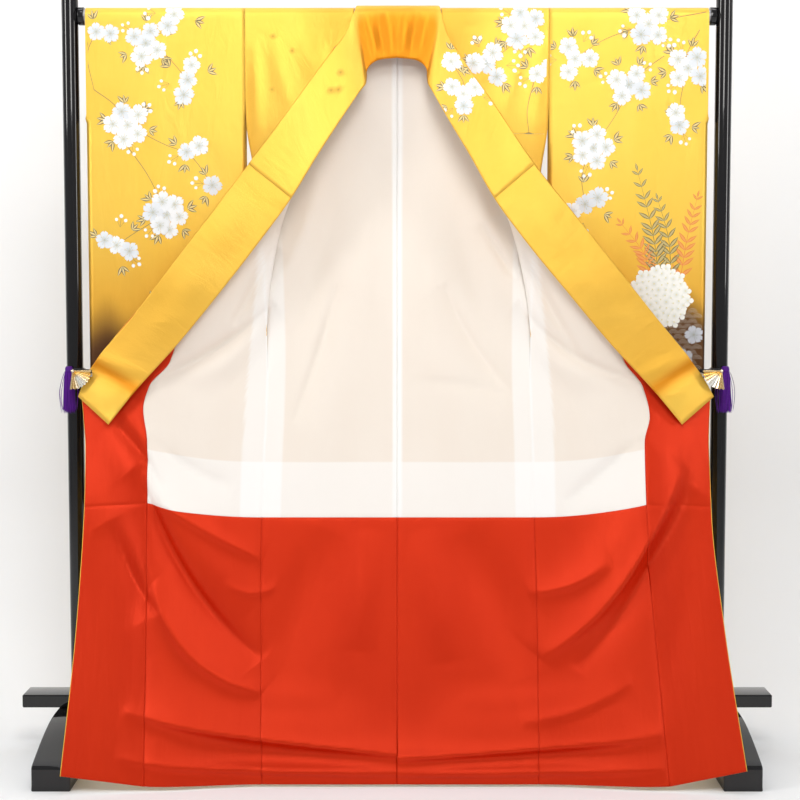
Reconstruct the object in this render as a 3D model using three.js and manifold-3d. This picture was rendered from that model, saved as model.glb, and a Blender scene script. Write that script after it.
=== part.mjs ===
// A furisode kimono on a kimono stand, in millimetres, +Z up, the opened front towards -Y.
//
// The shoulders of the kimono lie over the stand's rod. Its back hangs behind, its fronts are spread wide, turned so
// that their lining faces forwards, and the collar's lower ends are clipped to the stand's posts. The hem is drawn
// forwards over the stand's feet.
//
// Each half of the kimono is worked out once, as if it were the half at +X, and the half at -X is its mirror with a
// table of its own. A cloth is a base sheet, the face of the lining, and each layer is a wall between two distances
// from it: the lining next to the sheet, the yellow cloth outside the lining.
import * as THREE from 'three';
import { mergeVertices } from 'three/addons/utils/BufferGeometryUtils.js';
import Module from 'manifold-3d';

const wasm = await Module();
wasm.setup();

// ---- driving dimensions ----
const SEAM_GAP = 0.3; // between neighbouring pieces
const LINING = [0, 1.0]; // the lining's wall, as distances from the base sheet
const OUTER = [1.3, 2.5]; // the yellow cloth's wall
const BOTH_CLOTHS = [0, 2.5]; // a sleeve's wall, its two cloths as one

const ROD = { radius: 14, height: 1573, half: 672.2 };
const DRAPE_RADIUS = ROD.radius + 1.2; // of the lining's face over the rod
const SHOULDER = ROD.height + DRAPE_RADIUS; // height of the base sheet over the rod
const HEM_DROP = 1582; // from the shoulder to the hem

const NECK_CUT = 3.3; // how far behind the shoulder the neck opening is cut
const SLEEVE = { inner: 320.3, outer: 655, length: 1050, wrist: 230, roundEdge: 12, footGap: 9 };
const ARMHOLE_DROP = 220; // down to here the sleeve is sewn to the body
const OKUMI_TOP = 262; // the pointed top of the overlap panel
const LINING_DROP = 1065; // down to here the lining is white, below it red
const HEM_FORWARD = 279; // how far the hem of the back stands in front of the rod
const BACK_CURVE = 1.8; // how late the back leaves the vertical
const SEAM_CELL = 0.002; // share of the overlap panel's width that its seam's gap takes in the base sheet
const OKUMI_GAP = 0.35; // that gap
const SIDE_FOLD_GAP = 4; // between front and back where they lie folded on each other

const POST = { x: 690, radius: 17.5, top: 1650 };
const FOOT = { half: 290, width: 78, toeHeight: 50, height: 100, flat: 60, arch: 8 };
const CROSSBAR = { half: 807, depth: 70, height: 28 };
const CLIP_DROP = 757; // where the collar is clipped, below the shoulder

const COLOUR = {
  yellow: 0xf6c244, white: 0xf4ece2, red: 0xcf3d1c, lacquer: 0x0b0a0c, steel: 0x8d8f93, gold: 0xd9a441, purple: 0x4f1187,
};

// ---- small helpers ----
const mix = (a, b, k) => a + (b - a) * k;
const clamp01 = (k) => Math.min(1, Math.max(0, k));
const smoothstep = (v, from, to) => {
  const k = clamp01((v - from) / (to - from));
  return k * k * (3 - 2 * k);
};

// A column of a table as a smooth function of the first column, with no overshoot between two rows.
function curveOf(table, name) {
  const column = table.columns.indexOf(name);
  const at = table.rows.map((row) => row[0]);
  const value = table.rows.map((row) => row[column]);
  const slopes = at.slice(1).map((a, i) => (value[i + 1] - value[i]) / (a - at[i]));
  const tangent = (i) => {
    const before = slopes[Math.max(i - 1, 0)];
    const after = slopes[Math.min(i, slopes.length - 1)];
    return before * after <= 0 ? 0 : (2 * before * after) / (before + after);
  };
  return (a) => {
    let i = at.findIndex((limit) => a < limit) - 1;
    if (i === -2) i = at.length - 2;
    i = Math.max(i, 0);
    const span = at[i + 1] - at[i];
    const k = clamp01((a - at[i]) / span);
    const [k2, k3] = [k * k, k * k * k];
    return (2 * k3 - 3 * k2 + 1) * value[i] + (k3 - 2 * k2 + k) * span * tangent(i)
      + (3 * k2 - 2 * k3) * value[i + 1] + (k3 - k2) * span * tangent(i + 1);
  };
}

const curvesOf = (table) =>
  Object.fromEntries(table.columns.slice(1).map((name) => [name, curveOf(table, name)]));

// ---- the shape of a half, by height ----
// drop: below the shoulder. side: the side seam, seam: the overlap seam, edge: the front edge, all outwards from the
// middle. pull: how far a front doubles back towards the middle. seamFwd, edgeFwd: how far the overlap seam and the
// front edge stand in front of the rod. seamLift, edgeLift: how far they are drawn up.
const HALF_COLUMNS = ['drop', 'side', 'pull', 'seam', 'edge', 'seamFwd', 'edgeFwd', 'seamLift', 'edgeLift'];
const HALF_LEFT = {
  columns: HALF_COLUMNS,
  rows: [
    [0, 320, 0, 89, 89, 0, 0, 0, 0],
    [42, 320, 20, 100, 100, 3, 3, 0, 0],
    [90, 320, 70, 134, 134, 14, 14, 0, 0],
    [165, 320, 130, 187, 187, 26, 26, 0, 0],
    [240, 318, 134, 243, 243, 37, 37, 0, 0],
    [330, 305, 130, 291, 309, 47, 46, 0, 0],
    [468, 286, 98, 366, 416, 56, 52, 0, 0],
    [605, 279, 82, 437, 522, 58, 50, 6, 0],
    [757, 275, 42, 478, 644, 50, 36, 15, 0],
    [812, 276, 26, 523, 667, 50, 36, 20, 4],
    [936, 280, 0, 527, 655, 72, 64, 28, 14],
    [1090, 283, 0, 521, 652, 106, 108, 30, 24],
    [1300, 280, 0, 515, 655, 168, 178, 20, 28],
    [1582, 271, 0, 504, 668, 276, 291, 4, 30],
  ],
};
const HALF_RIGHT = {
  columns: HALF_COLUMNS,
  rows: [
    [0, 320, 0, 92, 92, 0, 0, 0, 0],
    [42, 320, 20, 98, 98, 3, 3, 0, 0],
    [90, 320, 74, 124, 124, 14, 14, 0, 0],
    [165, 320, 136, 173, 173, 26, 26, 0, 0],
    [240, 318, 138, 224, 224, 37, 37, 0, 0],
    [330, 306, 130, 268, 286, 47, 46, 0, 0],
    [468, 288, 98, 352, 398, 56, 52, 0, 0],
    [605, 284, 82, 430, 508, 58, 50, 6, 0],
    [757, 282, 42, 478, 630, 50, 36, 15, 0],
    [812, 283, 26, 516, 662, 50, 36, 20, 4],
    [936, 286, 0, 518, 655, 72, 64, 28, 14],
    [1090, 287, 0, 516, 655, 106, 108, 30, 24],
    [1300, 288, 0, 528, 668, 168, 178, 20, 28],
    [1582, 284, 0, 543, 694, 276, 291, 4, 40],
  ],
};

// The largest folds: soft ridges (depth towards the front) and troughs (negative), each along a bowed line.
const FOLD_COLUMNS = ['fromOut', 'fromDrop', 'toOut', 'toDrop', 'bow', 'width', 'depth'];
const FOLDS_LEFT = {
  columns: FOLD_COLUMNS,
  rows: [
    [262, 520, 470, 790, -42, 30, 13],
    [250, 560, 420, 850, -34, 26, -9],
    [600, 860, 300, 1250, 30, 46, 9],
    [640, 900, 470, 1500, 24, 50, -8],
    [60, 420, 190, 1050, 14, 50, 7],
    [520, 1440, 40, 1475, 6, 36, 9],
    [440, 1530, 0, 1530, 0, 26, -7],
  ],
};
const FOLDS_RIGHT = {
  columns: FOLD_COLUMNS,
  rows: [
    [266, 540, 480, 800, -38, 30, 12],
    [258, 590, 420, 880, -30, 26, -9],
    [610, 870, 320, 1270, 34, 48, 9],
    [640, 920, 500, 1480, 20, 50, -8],
    [50, 460, 170, 1080, 12, 46, 7],
    [500, 1455, 60, 1465, 8, 34, 8],
    [460, 1525, 40, 1535, 0, 26, -7],
  ],
};

const foldsOf = (table) =>
  table.rows.map((row) => Object.fromEntries(table.columns.map((name, i) => [name, row[i]])));

// How far all folds together move a point forwards: each fades like a bell across its line and like a sine along it.
function foldForward(folds, out, drop) {
  let forward = 0;
  for (const f of folds) {
    const [runOut, runDrop] = [f.toOut - f.fromOut, f.toDrop - f.fromDrop];
    const length = Math.hypot(runOut, runDrop);
    const [dOut, dDrop] = [out - f.fromOut, drop - f.fromDrop];
    const along = (dOut * runOut + dDrop * runDrop) / length / length;
    if (along <= 0 || along >= 1) continue;
    const aside = (dOut * runDrop - dDrop * runOut) / length - f.bow * 4 * along * (1 - along);
    forward += f.depth * Math.exp(-((aside / f.width) ** 2)) * Math.sin(Math.PI * along) ** 0.8;
  }
  return forward;
}

// ---- base sheet of a half, as if at +X ----
// Half the thickness of what hangs over the rod, a quarter circle and then plumb.
const overRod = (drop) => {
  const k = Math.min(drop / DRAPE_RADIUS, 1);
  return DRAPE_RADIUS * Math.sqrt(1 - (1 - k) ** 2);
};
const backY = (drop) =>
  overRod(drop) - HEM_FORWARD * Math.max((drop - ARMHOLE_DROP) / (HEM_DROP - ARMHOLE_DROP), 0) ** BACK_CURVE;

// Half the gap of the side seam, which opens below the armhole.
const sideGap = (drop) => (SEAM_GAP / 2) * smoothstep(drop, ARMHOLE_DROP, 600);

function half(table, foldTable) {
  const at = curvesOf(table);
  const folds = foldsOf(foldTable);

  // c runs from 0 at the middle of the back to 1 at the side seam.
  const back = (c, drop) => {
    const out = Math.max(c * (at.side(drop) - sideGap(drop)), SEAM_GAP / 2);
    const free = smoothstep(drop, ARMHOLE_DROP, 420);
    return new THREE.Vector3(out, backY(drop) - free * foldForward(folds, out, drop), SHOULDER - drop);
  };

  // s runs from 0 at the side seam through 1 at the overlap seam to 2 at the front edge.
  const front = (s, drop) => {
    const seam = drop < OKUMI_TOP ? at.edge(drop) : at.seam(drop);
    const joined = smoothstep(drop, ARMHOLE_DROP, 490);
    const apart = SIDE_FOLD_GAP * (1 - smoothstep(drop, 600, 760));
    const sideY = mix(-overRod(drop), backY(drop) - apart, joined);
    const seamY = -overRod(drop) - at.seamFwd(drop);
    const edgeY = -overRod(drop) - at.edgeFwd(drop);
    const side = at.side(drop) + sideGap(drop);
    let out, y, lift;
    if (s <= 1) {
      // A cubic curve whose middle handles are pulled towards the middle of the kimono, so that the front doubles back.
      const handle1 = mix(side, seam, 1 / 3) - at.pull(drop);
      const handle2 = mix(side, seam, 2 / 3) - at.pull(drop);
      const [r, w1, w2, w3] = [(1 - s) ** 3, 3 * (1 - s) ** 2 * s, 3 * (1 - s) * s * s, s ** 3];
      out = r * side + w1 * handle1 + w2 * handle2 + w3 * seam;
      y = (r + w1) * sideY + (w2 + w3) * seamY;
      lift = at.seamLift(drop) * s * s;
    } else {
      const past = Math.max(s - 1 - SEAM_CELL, 0) / (1 - SEAM_CELL);
      out = mix(seam + OKUMI_GAP * Math.min((s - 1) / SEAM_CELL, 1), at.edge(drop), past);
      y = mix(seamY, edgeY, s - 1);
      lift = mix(at.seamLift(drop), at.edgeLift(drop), s - 1);
    }
    const opened = mix(smoothstep(s, 0, 0.5), 1, smoothstep(drop, 600, 760)) * smoothstep(drop, 330, 520);
    return new THREE.Vector3(out, y - opened * foldForward(folds, out, drop), SHOULDER - drop + lift);
  };
  return { at, back, front };
}

// ---- cloth: faces on shared points, and walls between two distances from them ----
// Which way a cell is the narrow gap of a seam, if it is one.
function isSeamCell(fromAcross, toAcross, fromDown, toDown) {
  if (toAcross - fromAcross < 2 * SEAM_CELL) return 'across';
  return fromDown > OKUMI_TOP && toDown - fromDown < 2 * SEAM_GAP ? 'down' : null;
}

class Cloth {
  constructor() {
    this.points = [];
    this.index = new Map();
    this.faces = [];
  }

  pointAt(p) {
    const key = [p.x, p.y, p.z].map((v) => Math.round(v * 1000)).join();
    if (!this.index.has(key)) {
      this.index.set(key, this.points.length);
      this.points.push(p);
    }
    return this.index.get(key);
  }

  // Faces between each two neighbouring values across and down; keep says which cells there are.
  grid(place, across, down, tag, keep = () => true) {
    const ids = down.map((d) => across.map((a) => this.pointAt(place(a, d))));
    for (let j = 0; j + 1 < down.length; j += 1) {
      for (let i = 0; i + 1 < across.length; i += 1) {
        const cell = { tag, across: (across[i] + across[i + 1]) / 2, down: (down[j] + down[j + 1]) / 2 };
        cell.seam = isSeamCell(across[i], across[i + 1], down[j], down[j + 1]);
        if (keep(cell)) {
          this.faces.push({ ...cell, corners: [ids[j][i], ids[j][i + 1], ids[j + 1][i + 1], ids[j + 1][i]] });
        }
      }
    }
  }

  normals() {
    const sum = this.points.map(() => new THREE.Vector3());
    for (const { corners, seam } of this.faces) {
      if (seam) continue;
      const [a, b, c, d] = corners.map((id) => this.points[id]);
      const diagonals = new THREE.Vector3().subVectors(c, a).cross(new THREE.Vector3().subVectors(d, b));
      for (const id of new Set(corners)) sum[id].add(diagonals);
    }
    const normals = sum.map((n) => n.normalize());
    // The two sides of a seam lean the same way, so that the walls of two neighbours never meet.
    const shared = normals.map((n) => n.clone());
    for (const { corners: [a, b, c, d], seam } of this.faces) {
      if (!seam) continue;
      for (const [one, other] of seam === 'across' ? [[a, b], [d, c]] : [[a, d], [b, c]]) {
        const both = normals[one].clone().add(normals[other]).normalize();
        shared[one].copy(both);
        shared[other].copy(both);
      }
    }
    return shared;
  }

  // A closed wall over the faces that pick chooses, from one distance to a greater one along the normals.
  wall([from, to], pick = () => true) {
    const normals = this.normals();
    const picked = this.faces.filter(pick);
    const ids = [...new Set(picked.flatMap((f) => f.corners))];
    const order = new Map(ids.map((id, i) => [id, i]));
    const layer = (distance) =>
      ids.flatMap((id) => this.points[id].clone().addScaledVector(normals[id], distance).toArray());
    const positions = [...layer(from), ...layer(to)];
    const inside = (id) => order.get(id);
    const outside = (id) => order.get(id) + ids.length;
    const triangles = [];
    const edges = new Map();
    const ring = ({ corners }) => corners.filter((id, i) => id !== corners[(i + 1) % corners.length]);
    for (const face of picked) {
      const loop = ring(face);
      for (let i = 1; i + 1 < loop.length; i += 1) {
        triangles.push(outside(loop[0]), outside(loop[i]), outside(loop[i + 1]));
        triangles.push(inside(loop[0]), inside(loop[i + 1]), inside(loop[i]));
      }
      loop.forEach((id, i) => edges.set(`${id},${loop[(i + 1) % loop.length]}`, [id, loop[(i + 1) % loop.length]]));
    }
    for (const [a, b] of edges.values()) {
      if (edges.has(`${b},${a}`)) continue;
      triangles.push(inside(a), inside(b), outside(b), inside(a), outside(b), outside(a));
    }
    const geometry = new THREE.BufferGeometry();
    geometry.setAttribute('position', new THREE.Float32BufferAttribute(positions, 3));
    geometry.setIndex(triangles);
    return geometry;
  }
}

// Turns a geometry that was made for +X into its mirror at -X, with its faces still outwards.
function mirrored(geometry) {
  const flipped = geometry.clone();
  flipped.applyMatrix4(new THREE.Matrix4().makeScale(-1, 1, 1));
  const index = flipped.getIndex();
  for (let i = 0; i < index.count; i += 3) {
    const [a, b] = [index.getX(i), index.getX(i + 1)];
    index.setX(i, b);
    index.setX(i + 1, a);
  }
  return flipped;
}

// ---- the scene graph ----
const kimono = new THREE.Group();

function add(name, geometry, colour, roughness = 0.5, metalness = 0) {
  geometry.computeVertexNormals();
  const mesh = new THREE.Mesh(geometry, new THREE.MeshStandardMaterial({ color: colour, roughness, metalness }));
  mesh.name = name;
  kimono.add(mesh);
  return mesh;
}

const SIDES = [
  { name: 'left', sign: -1, table: HALF_LEFT, folds: FOLDS_LEFT },
  { name: 'right', sign: 1, table: HALF_RIGHT, folds: FOLDS_RIGHT },
];
const toSide = (geometry, side) => (side.sign < 0 ? mirrored(geometry) : geometry);

// ---- body panels, overlap panels and their linings ----
const OVER_ROD_ROWS = [0, NECK_CUT, 8.6, DRAPE_RADIUS];
const ROWS = [
  ...OVER_ROD_ROWS, 42, 90, 150, ARMHOLE_DROP, OKUMI_TOP, 330, 400, 468, 540, 615, 690, 757, 812, 880, 965,
  LINING_DROP - SEAM_GAP / 2, LINING_DROP + SEAM_GAP / 2, 1165, 1275, 1380, 1460, 1525, HEM_DROP,
];
const FRONT_CELLS = 8;
const NECK_CELLS = 2;
const steps = (cells, from = 0, to = 1) => Array.from({ length: cells + 1 }, (_, i) => mix(from, to, i / cells));

function bodyCloth({ table, folds }) {
  const shape = half(table, folds);
  const cloth = new Cloth();
  const neckShare = shape.at.edge(0) / shape.at.side(0);
  const backColumns = [...steps(NECK_CELLS, 0, neckShare).slice(0, -1), ...steps(FRONT_CELLS, neckShare, 1)];
  // The shoulder row is shared by back and front, so both have the same columns there.
  const okumiColumns = [1, 1 + SEAM_CELL, 1.34, 1.67, 2];
  cloth.grid(shape.back, backColumns, ROWS, 'back', ({ across, down }) => across > neckShare || down > NECK_CUT);
  cloth.grid(shape.front, steps(FRONT_CELLS), ROWS, 'front');
  const okumiRows = ROWS.filter((drop) => drop >= OKUMI_TOP);
  cloth.grid(shape.front, okumiColumns, okumiRows, 'okumi');
  return cloth;
}

for (const side of SIDES) {
  const cloth = bodyCloth(side);
  const addPanel = (name, wall, colour, pick) =>
    add(`${name}_${side.name}`, toSide(cloth.wall(wall, pick), side), colour);
  const isWhite = ({ down, seam }) => down < LINING_DROP && !seam;
  const isRed = ({ down, seam }) => down > LINING_DROP && !seam;
  const isOkumi = ({ tag, seam }) => tag === 'okumi' && seam !== 'across';
  addPanel('body', OUTER, COLOUR.yellow, ({ tag }) => tag !== 'okumi');
  addPanel('okumi', OUTER, COLOUR.yellow, isOkumi);
  addPanel('lining', LINING, COLOUR.white, (face) => face.tag !== 'okumi' && isWhite(face));
  addPanel('hem_back', LINING, COLOUR.red, (face) => face.tag === 'back' && isRed(face));
  addPanel('hem_front', LINING, COLOUR.red, (face) => face.tag === 'front' && isRed(face));
  addPanel('hem_okumi', LINING, COLOUR.red, isOkumi);
}

// ---- sleeves: a bag that hangs over the rod, open at its inner edge and, above wrist, at its outer edge ----
const SLEEVE_ROWS = [...OVER_ROD_ROWS, 60, 145, SLEEVE.wrist, 340, 490, 650, 810, 950, 1030, 1046, SLEEVE.length];
const SLEEVE_COLUMNS = [0, 0.25, 0.5, 0.75, 0.955, 0.99, 1];

function sleeveCloth() {
  const width = SLEEVE.outer - SLEEVE.inner;
  const halfGap = (out, drop) => {
    const body = mix(DRAPE_RADIUS, SLEEVE.footGap, smoothstep(drop, 200, SLEEVE.length));
    const toFoot = clamp01((SLEEVE.length - drop) / SLEEVE.roundEdge);
    const toEdge = drop > SLEEVE.wrist ? clamp01((SLEEVE.outer - out) / SLEEVE.roundEdge) : 1;
    const round = (k) => Math.sqrt(1 - (1 - k) ** 2);
    return Math.min(overRod(drop), body) * round(toFoot) * round(toEdge);
  };
  const place = (sign) => (k, drop) => {
    const out = SLEEVE.inner + k * width;
    return new THREE.Vector3(out, sign * halfGap(out, drop), SHOULDER - drop);
  };
  const cloth = new Cloth();
  cloth.grid(place(1), SLEEVE_COLUMNS, SLEEVE_ROWS, 'behind');
  cloth.grid((k, drop) => place(-1)(1 - k, drop), SLEEVE_COLUMNS.map((k) => 1 - k).reverse(), SLEEVE_ROWS, 'ahead');
  return cloth;
}

for (const side of SIDES) {
  add(`sleeve_${side.name}`, toSide(sleeveCloth().wall(BOTH_CLOTHS), side), COLOUR.yellow);
}

// ---- collar: a band from one clip round the neck to the other ----
// sewn: its sewn edge, free: its other edge, by out, drop and fwd (in front of the rod's axis). turn is the angle at
// which it starts over the rod, in degrees behind the top; at -90 it starts in front and hangs from its sewn edge.
const COLLAR_COLUMNS = ['along', 'sewnOut', 'sewnDrop', 'sewnFwd', 'turn', 'freeOut', 'freeDrop', 'freeFwd'];
const COLLAR_LEFT = {
  columns: COLLAR_COLUMNS,
  rows: [
    [0, 0, 0, 0, 40, 0, 106, 30],
    [45, 45, 0, 0, 38, 36, 110, 31],
    [78, 76, 0, 0, 25, 58, 124, 34],
    [96, 86, 0, 0, -25, 65, 140, 38],
    [112, 90, 0, 0, -68, 66, 152, 44],
    [128, 94, 17, 19, -90, 67, 163, 50],
    [165, 103, 46, 23, -90, 78, 180, 58],
    [250, 152, 115, 38, -90, 116, 238, 72],
    [340, 210, 196, 50, -90, 164, 312, 80],
    [455, 309, 330, 64, -90, 219, 402, 90],
    [560, 374, 416, 69, -90, 290, 498, 94],
    [690, 456, 521, 70, -90, 366, 594, 92],
    [840, 553, 645, 64, -90, 458, 704, 84],
    [985, 648, 760, 57, -90, 551, 806, 82],
    [1045, 672, 815, 57, -90, 604, 872, 84],
  ],
};
const COLLAR_RIGHT = {
  columns: COLLAR_COLUMNS,
  rows: [
    [0, 0, 0, 0, 40, 0, 106, 30],
    [45, 45, 0, 0, 38, 36, 110, 31],
    [78, 78, 0, 0, 25, 58, 124, 34],
    [96, 88, 0, 0, -25, 64, 140, 38],
    [112, 92, 0, 0, -68, 65, 152, 44],
    [128, 94, 17, 19, -90, 66, 163, 50],
    [165, 100, 46, 23, -90, 74, 180, 58],
    [250, 140, 115, 38, -90, 106, 238, 72],
    [340, 196, 196, 50, -90, 150, 312, 80],
    [455, 286, 330, 64, -90, 201, 402, 90],
    [560, 355, 416, 69, -90, 272, 498, 94],
    [690, 440, 521, 70, -90, 352, 594, 92],
    [840, 540, 645, 64, -90, 446, 704, 84],
    [985, 634, 760, 57, -90, 541, 806, 82],
    [1045, 667, 815, 57, -90, 596, 872, 84],
  ],
};
const COLLAR_RADIUS = 19; // of its inner face over the rod and the shoulder cloth
const COLLAR_WALL = [0, 2.0];
const OVER_COLLAR = { wall: [2.3, 3.3], half: 455 };

// k runs from 0 at the sewn edge to 1 at the free edge: round the rod first, where the band starts behind it, then
// straight to the free edge.
function collarPoint(at, along, k) {
  const turn = THREE.MathUtils.degToRad(at.turn(along));
  const [quarter, sewnOut] = [Math.PI / 2, at.sewnOut(along)];
  const sewn = turn > -quarter + 1e-6
    ? new THREE.Vector3(sewnOut, -COLLAR_RADIUS, ROD.height)
    : new THREE.Vector3(sewnOut, -at.sewnFwd(along), SHOULDER - at.sewnDrop(along));
  const free = new THREE.Vector3(at.freeOut(along), -at.freeFwd(along), SHOULDER - at.freeDrop(along));
  const arc = COLLAR_RADIUS * (turn + quarter);
  const reach = k * (arc + sewn.distanceTo(free));
  if (reach < arc) {
    const angle = turn - reach / COLLAR_RADIUS;
    return new THREE.Vector3(sewnOut, COLLAR_RADIUS * Math.sin(angle), ROD.height + COLLAR_RADIUS * Math.cos(angle));
  }
  return sewn.lerp(free, (reach - arc) / sewn.distanceTo(free));
}

const COLLAR_STEPS = [0, 42, 68, 84, 96, 106, 116, 128, 165, 250, 340, 455, 560, 690, 840, 985, 1045];
const ACROSS_COLLAR = [0, 0.08, 0.16, 0.24, 0.32, 0.5, 0.75, 1];

function collarCloth() {
  const [left, right] = [curvesOf(COLLAR_LEFT), curvesOf(COLLAR_RIGHT)];
  const place = (along, k) => {
    const p = collarPoint(along < 0 ? left : right, Math.abs(along), k);
    return along < 0 ? p.setX(-p.x) : p;
  };
  const cloth = new Cloth();
  const along = [...COLLAR_STEPS.slice(1).reverse().map((a) => -a), ...COLLAR_STEPS];
  cloth.grid((a, k) => place(-a, k), along, ACROSS_COLLAR, 'collar');
  return cloth;
}

const collar = collarCloth();
add('collar', collar.wall(COLLAR_WALL), COLOUR.yellow);
add('over_collar', collar.wall(OVER_COLLAR.wall, ({ across }) => Math.abs(across) < OVER_COLLAR.half), COLOUR.yellow);

// ---- stand ----
const ROUND = 24;

function lathe(profile, sides = ROUND) {
  const geometry = new THREE.LatheGeometry(profile.map(([r, y]) => new THREE.Vector2(r, y)), sides);
  geometry.rotateX(Math.PI / 2); // the lathe's axis becomes +Z
  geometry.deleteAttribute('normal');
  geometry.deleteAttribute('uv');
  return mergeVertices(geometry, 1e-4);
}

// A bar along X from an outline in the YZ plane.
function barAlongX(outline, from, to) {
  const shape = new THREE.Shape(outline.map(([y, z]) => new THREE.Vector2(y, z)));
  const geometry = new THREE.ExtrudeGeometry(shape, { depth: to - from, bevelEnabled: false, curveSegments: 8 });
  // The outline's X and Y become Y and Z, and its depth becomes X.
  geometry.applyMatrix4(new THREE.Matrix4().makeBasis(
    new THREE.Vector3(0, 1, 0), new THREE.Vector3(0, 0, 1), new THREE.Vector3(1, 0, 0),
  ));
  geometry.translate(from, 0, 0);
  return geometry;
}

const lacquered = (name, geometry) => add(name, geometry, COLOUR.lacquer, 0.15);

// A foot's side: a low runner that rises in a curve from each toe to the flat under the crossbar, over a shallow arch.
function footOutline() {
  const rise = steps(5).map((k) => [
    mix(-FOOT.half, -FOOT.flat, k),
    mix(FOOT.toeHeight, FOOT.height, Math.sin((k * Math.PI) / 2)),
  ]);
  const arch = steps(6, -1, 1).map((k) => [k * FOOT.half * 0.55, FOOT.arch * (1 - k * k)]);
  const fall = rise.map(([y, z]) => [-y, z]).reverse();
  return [[-FOOT.half, 0], ...rise, ...fall, [FOOT.half, 0], ...arch.reverse()];
}

const crossbarBase = FOOT.height + SEAM_GAP;
const postBase = crossbarBase + CROSSBAR.height + SEAM_GAP;
const halfDepth = CROSSBAR.depth / 2;
lacquered('crossbar', barAlongX(
  [[-halfDepth, crossbarBase], [halfDepth, crossbarBase], [halfDepth, crossbarBase + CROSSBAR.height],
    [-halfDepth, crossbarBase + CROSSBAR.height]], -CROSSBAR.half, CROSSBAR.half,
));

const rod = lathe([[0, -ROD.half], [ROD.radius, -ROD.half], [ROD.radius, ROD.half], [0, ROD.half]]);
rod.rotateY(Math.PI / 2);
rod.translate(0, 0, ROD.height);
add('rod', rod, COLOUR.steel, 0.3, 0.9);

for (const side of SIDES) {
  const x = side.sign * POST.x;
  lacquered(`foot_${side.name}`, barAlongX(footOutline(), x - FOOT.width / 2, x + FOOT.width / 2));

  const cap = steps(5).map((k) => [
    POST.radius * Math.cos((k * Math.PI) / 2), POST.top - POST.radius + POST.radius * Math.sin((k * Math.PI) / 2),
  ]);
  cap[cap.length - 1][0] = 0;
  const post = lathe([[0, postBase], [POST.radius, postBase], ...cap]);
  post.translate(x, 0, 0);
  lacquered(`post_${side.name}`, post);

  // A ring on the rod against the post.
  const socket = { inner: ROD.radius + SEAM_GAP, outer: 19, from: 659, to: ROD.half - 1 };
  const ring = lathe([[socket.inner, socket.from], [socket.outer, socket.from], [socket.outer, socket.to],
    [socket.inner, socket.to], [socket.inner, socket.from]]);
  ring.rotateY((side.sign * Math.PI) / 2);
  ring.translate(0, 0, ROD.height);
  lacquered(`rod_socket_${side.name}`, ring);
}

// ---- clips: a strap round the post, a spring clip on the collar's end, a fan on the clip, and a tassel ----
const CLIP_Z = SHOULDER - CLIP_DROP;
const STRAP = { inner: POST.radius + SEAM_GAP, outer: POST.radius + 2.3, height: 8, z: CLIP_Z - 8 };
const CLIP = { width: 14, z: CLIP_Z - 1, jaws: 640, web: 672, front: -70, back: -39, thickness: 2.8, tail: -2 };
const FAN = { x: 680, z: CLIP_Z - 4, radius: 38, hub: 5, facing: 228, spread: 96, cells: 16, pleat: 1.1, wall: 2 };
const TASSEL = {
  x: 698, y: -STRAP.outer - 4.3, z: CLIP_Z,
  length: 92, head: 7, root: 5.5, foot: 15, flatness: 0.6, forward: 4, thread: 1.5,
  rings: [{ count: 4, reach: 0.35 }, { count: 9, reach: 0.7 }, { count: 13, reach: 1 }],
};

// The clip seen from above: a U round the collar's outer edge, with a tail that reaches back to the strap.
function clipGeometry() {
  const { jaws, web, front, back, thickness: t, tail } = CLIP;
  const outline = [
    [jaws, front], [web, front], [web, back + t], [web - 2, back + t], [web - 2, tail], [web - 2 - t, tail],
    [web - 2 - t, back + t], [jaws, back + t], [jaws, back], [web - t, back], [web - t, front + t], [jaws, front + t],
  ];
  const shape = new THREE.Shape(outline.map(([x, y]) => new THREE.Vector2(x, y)));
  const geometry = new THREE.ExtrudeGeometry(shape, { depth: CLIP.width, bevelEnabled: false });
  geometry.translate(0, 0, CLIP.z - CLIP.width);
  return geometry;
}

// A pleated fan in front of the clip's front jaw, as a wall over a grid of ribs and radius.
function fanGeometry() {
  const cloth = new Cloth();
  const y = CLIP.front - SEAM_GAP - FAN.pleat - FAN.wall;
  const place = (rib, radius) => {
    const angle = THREE.MathUtils.degToRad(FAN.facing + FAN.spread * (0.5 - rib / FAN.cells));
    const pleat = (rib % 2 ? 1 : -1) * FAN.pleat * (radius / FAN.radius);
    return new THREE.Vector3(FAN.x + radius * Math.cos(angle), y + pleat, FAN.z + radius * Math.sin(angle));
  };
  cloth.grid(place, steps(FAN.cells, 0, FAN.cells), [FAN.radius, FAN.hub], 'fan');
  return cloth.wall([0, FAN.wall]);
}

function toSolid(geometry) {
  const plain = geometry.clone();
  plain.deleteAttribute('normal');
  plain.deleteAttribute('uv');
  const merged = mergeVertices(plain, 1e-4);
  return new wasm.Manifold(new wasm.Mesh({
    numProp: 3,
    vertProperties: new Float32Array(merged.attributes.position.array),
    triVerts: new Uint32Array(merged.index.array),
  }));
}

function toGeometry(solid) {
  const mesh = solid.getMesh();
  const geometry = new THREE.BufferGeometry();
  geometry.setAttribute('position', new THREE.Float32BufferAttribute(Array.from(mesh.vertProperties), 3));
  geometry.setIndex(Array.from(mesh.triVerts));
  return geometry;
}

// A three-sided thread between two points.
function thread(from, to, radius) {
  const run = new THREE.Vector3().subVectors(to, from);
  const geometry = new THREE.CylinderGeometry(radius * 0.8, radius, run.length(), 3, 1);
  geometry.applyQuaternion(new THREE.Quaternion().setFromUnitVectors(new THREE.Vector3(0, 1, 0), run.clone().normalize()));
  const middle = new THREE.Vector3().addVectors(from, to).multiplyScalar(0.5);
  return geometry.translate(middle.x, middle.y, middle.z);
}

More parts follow.
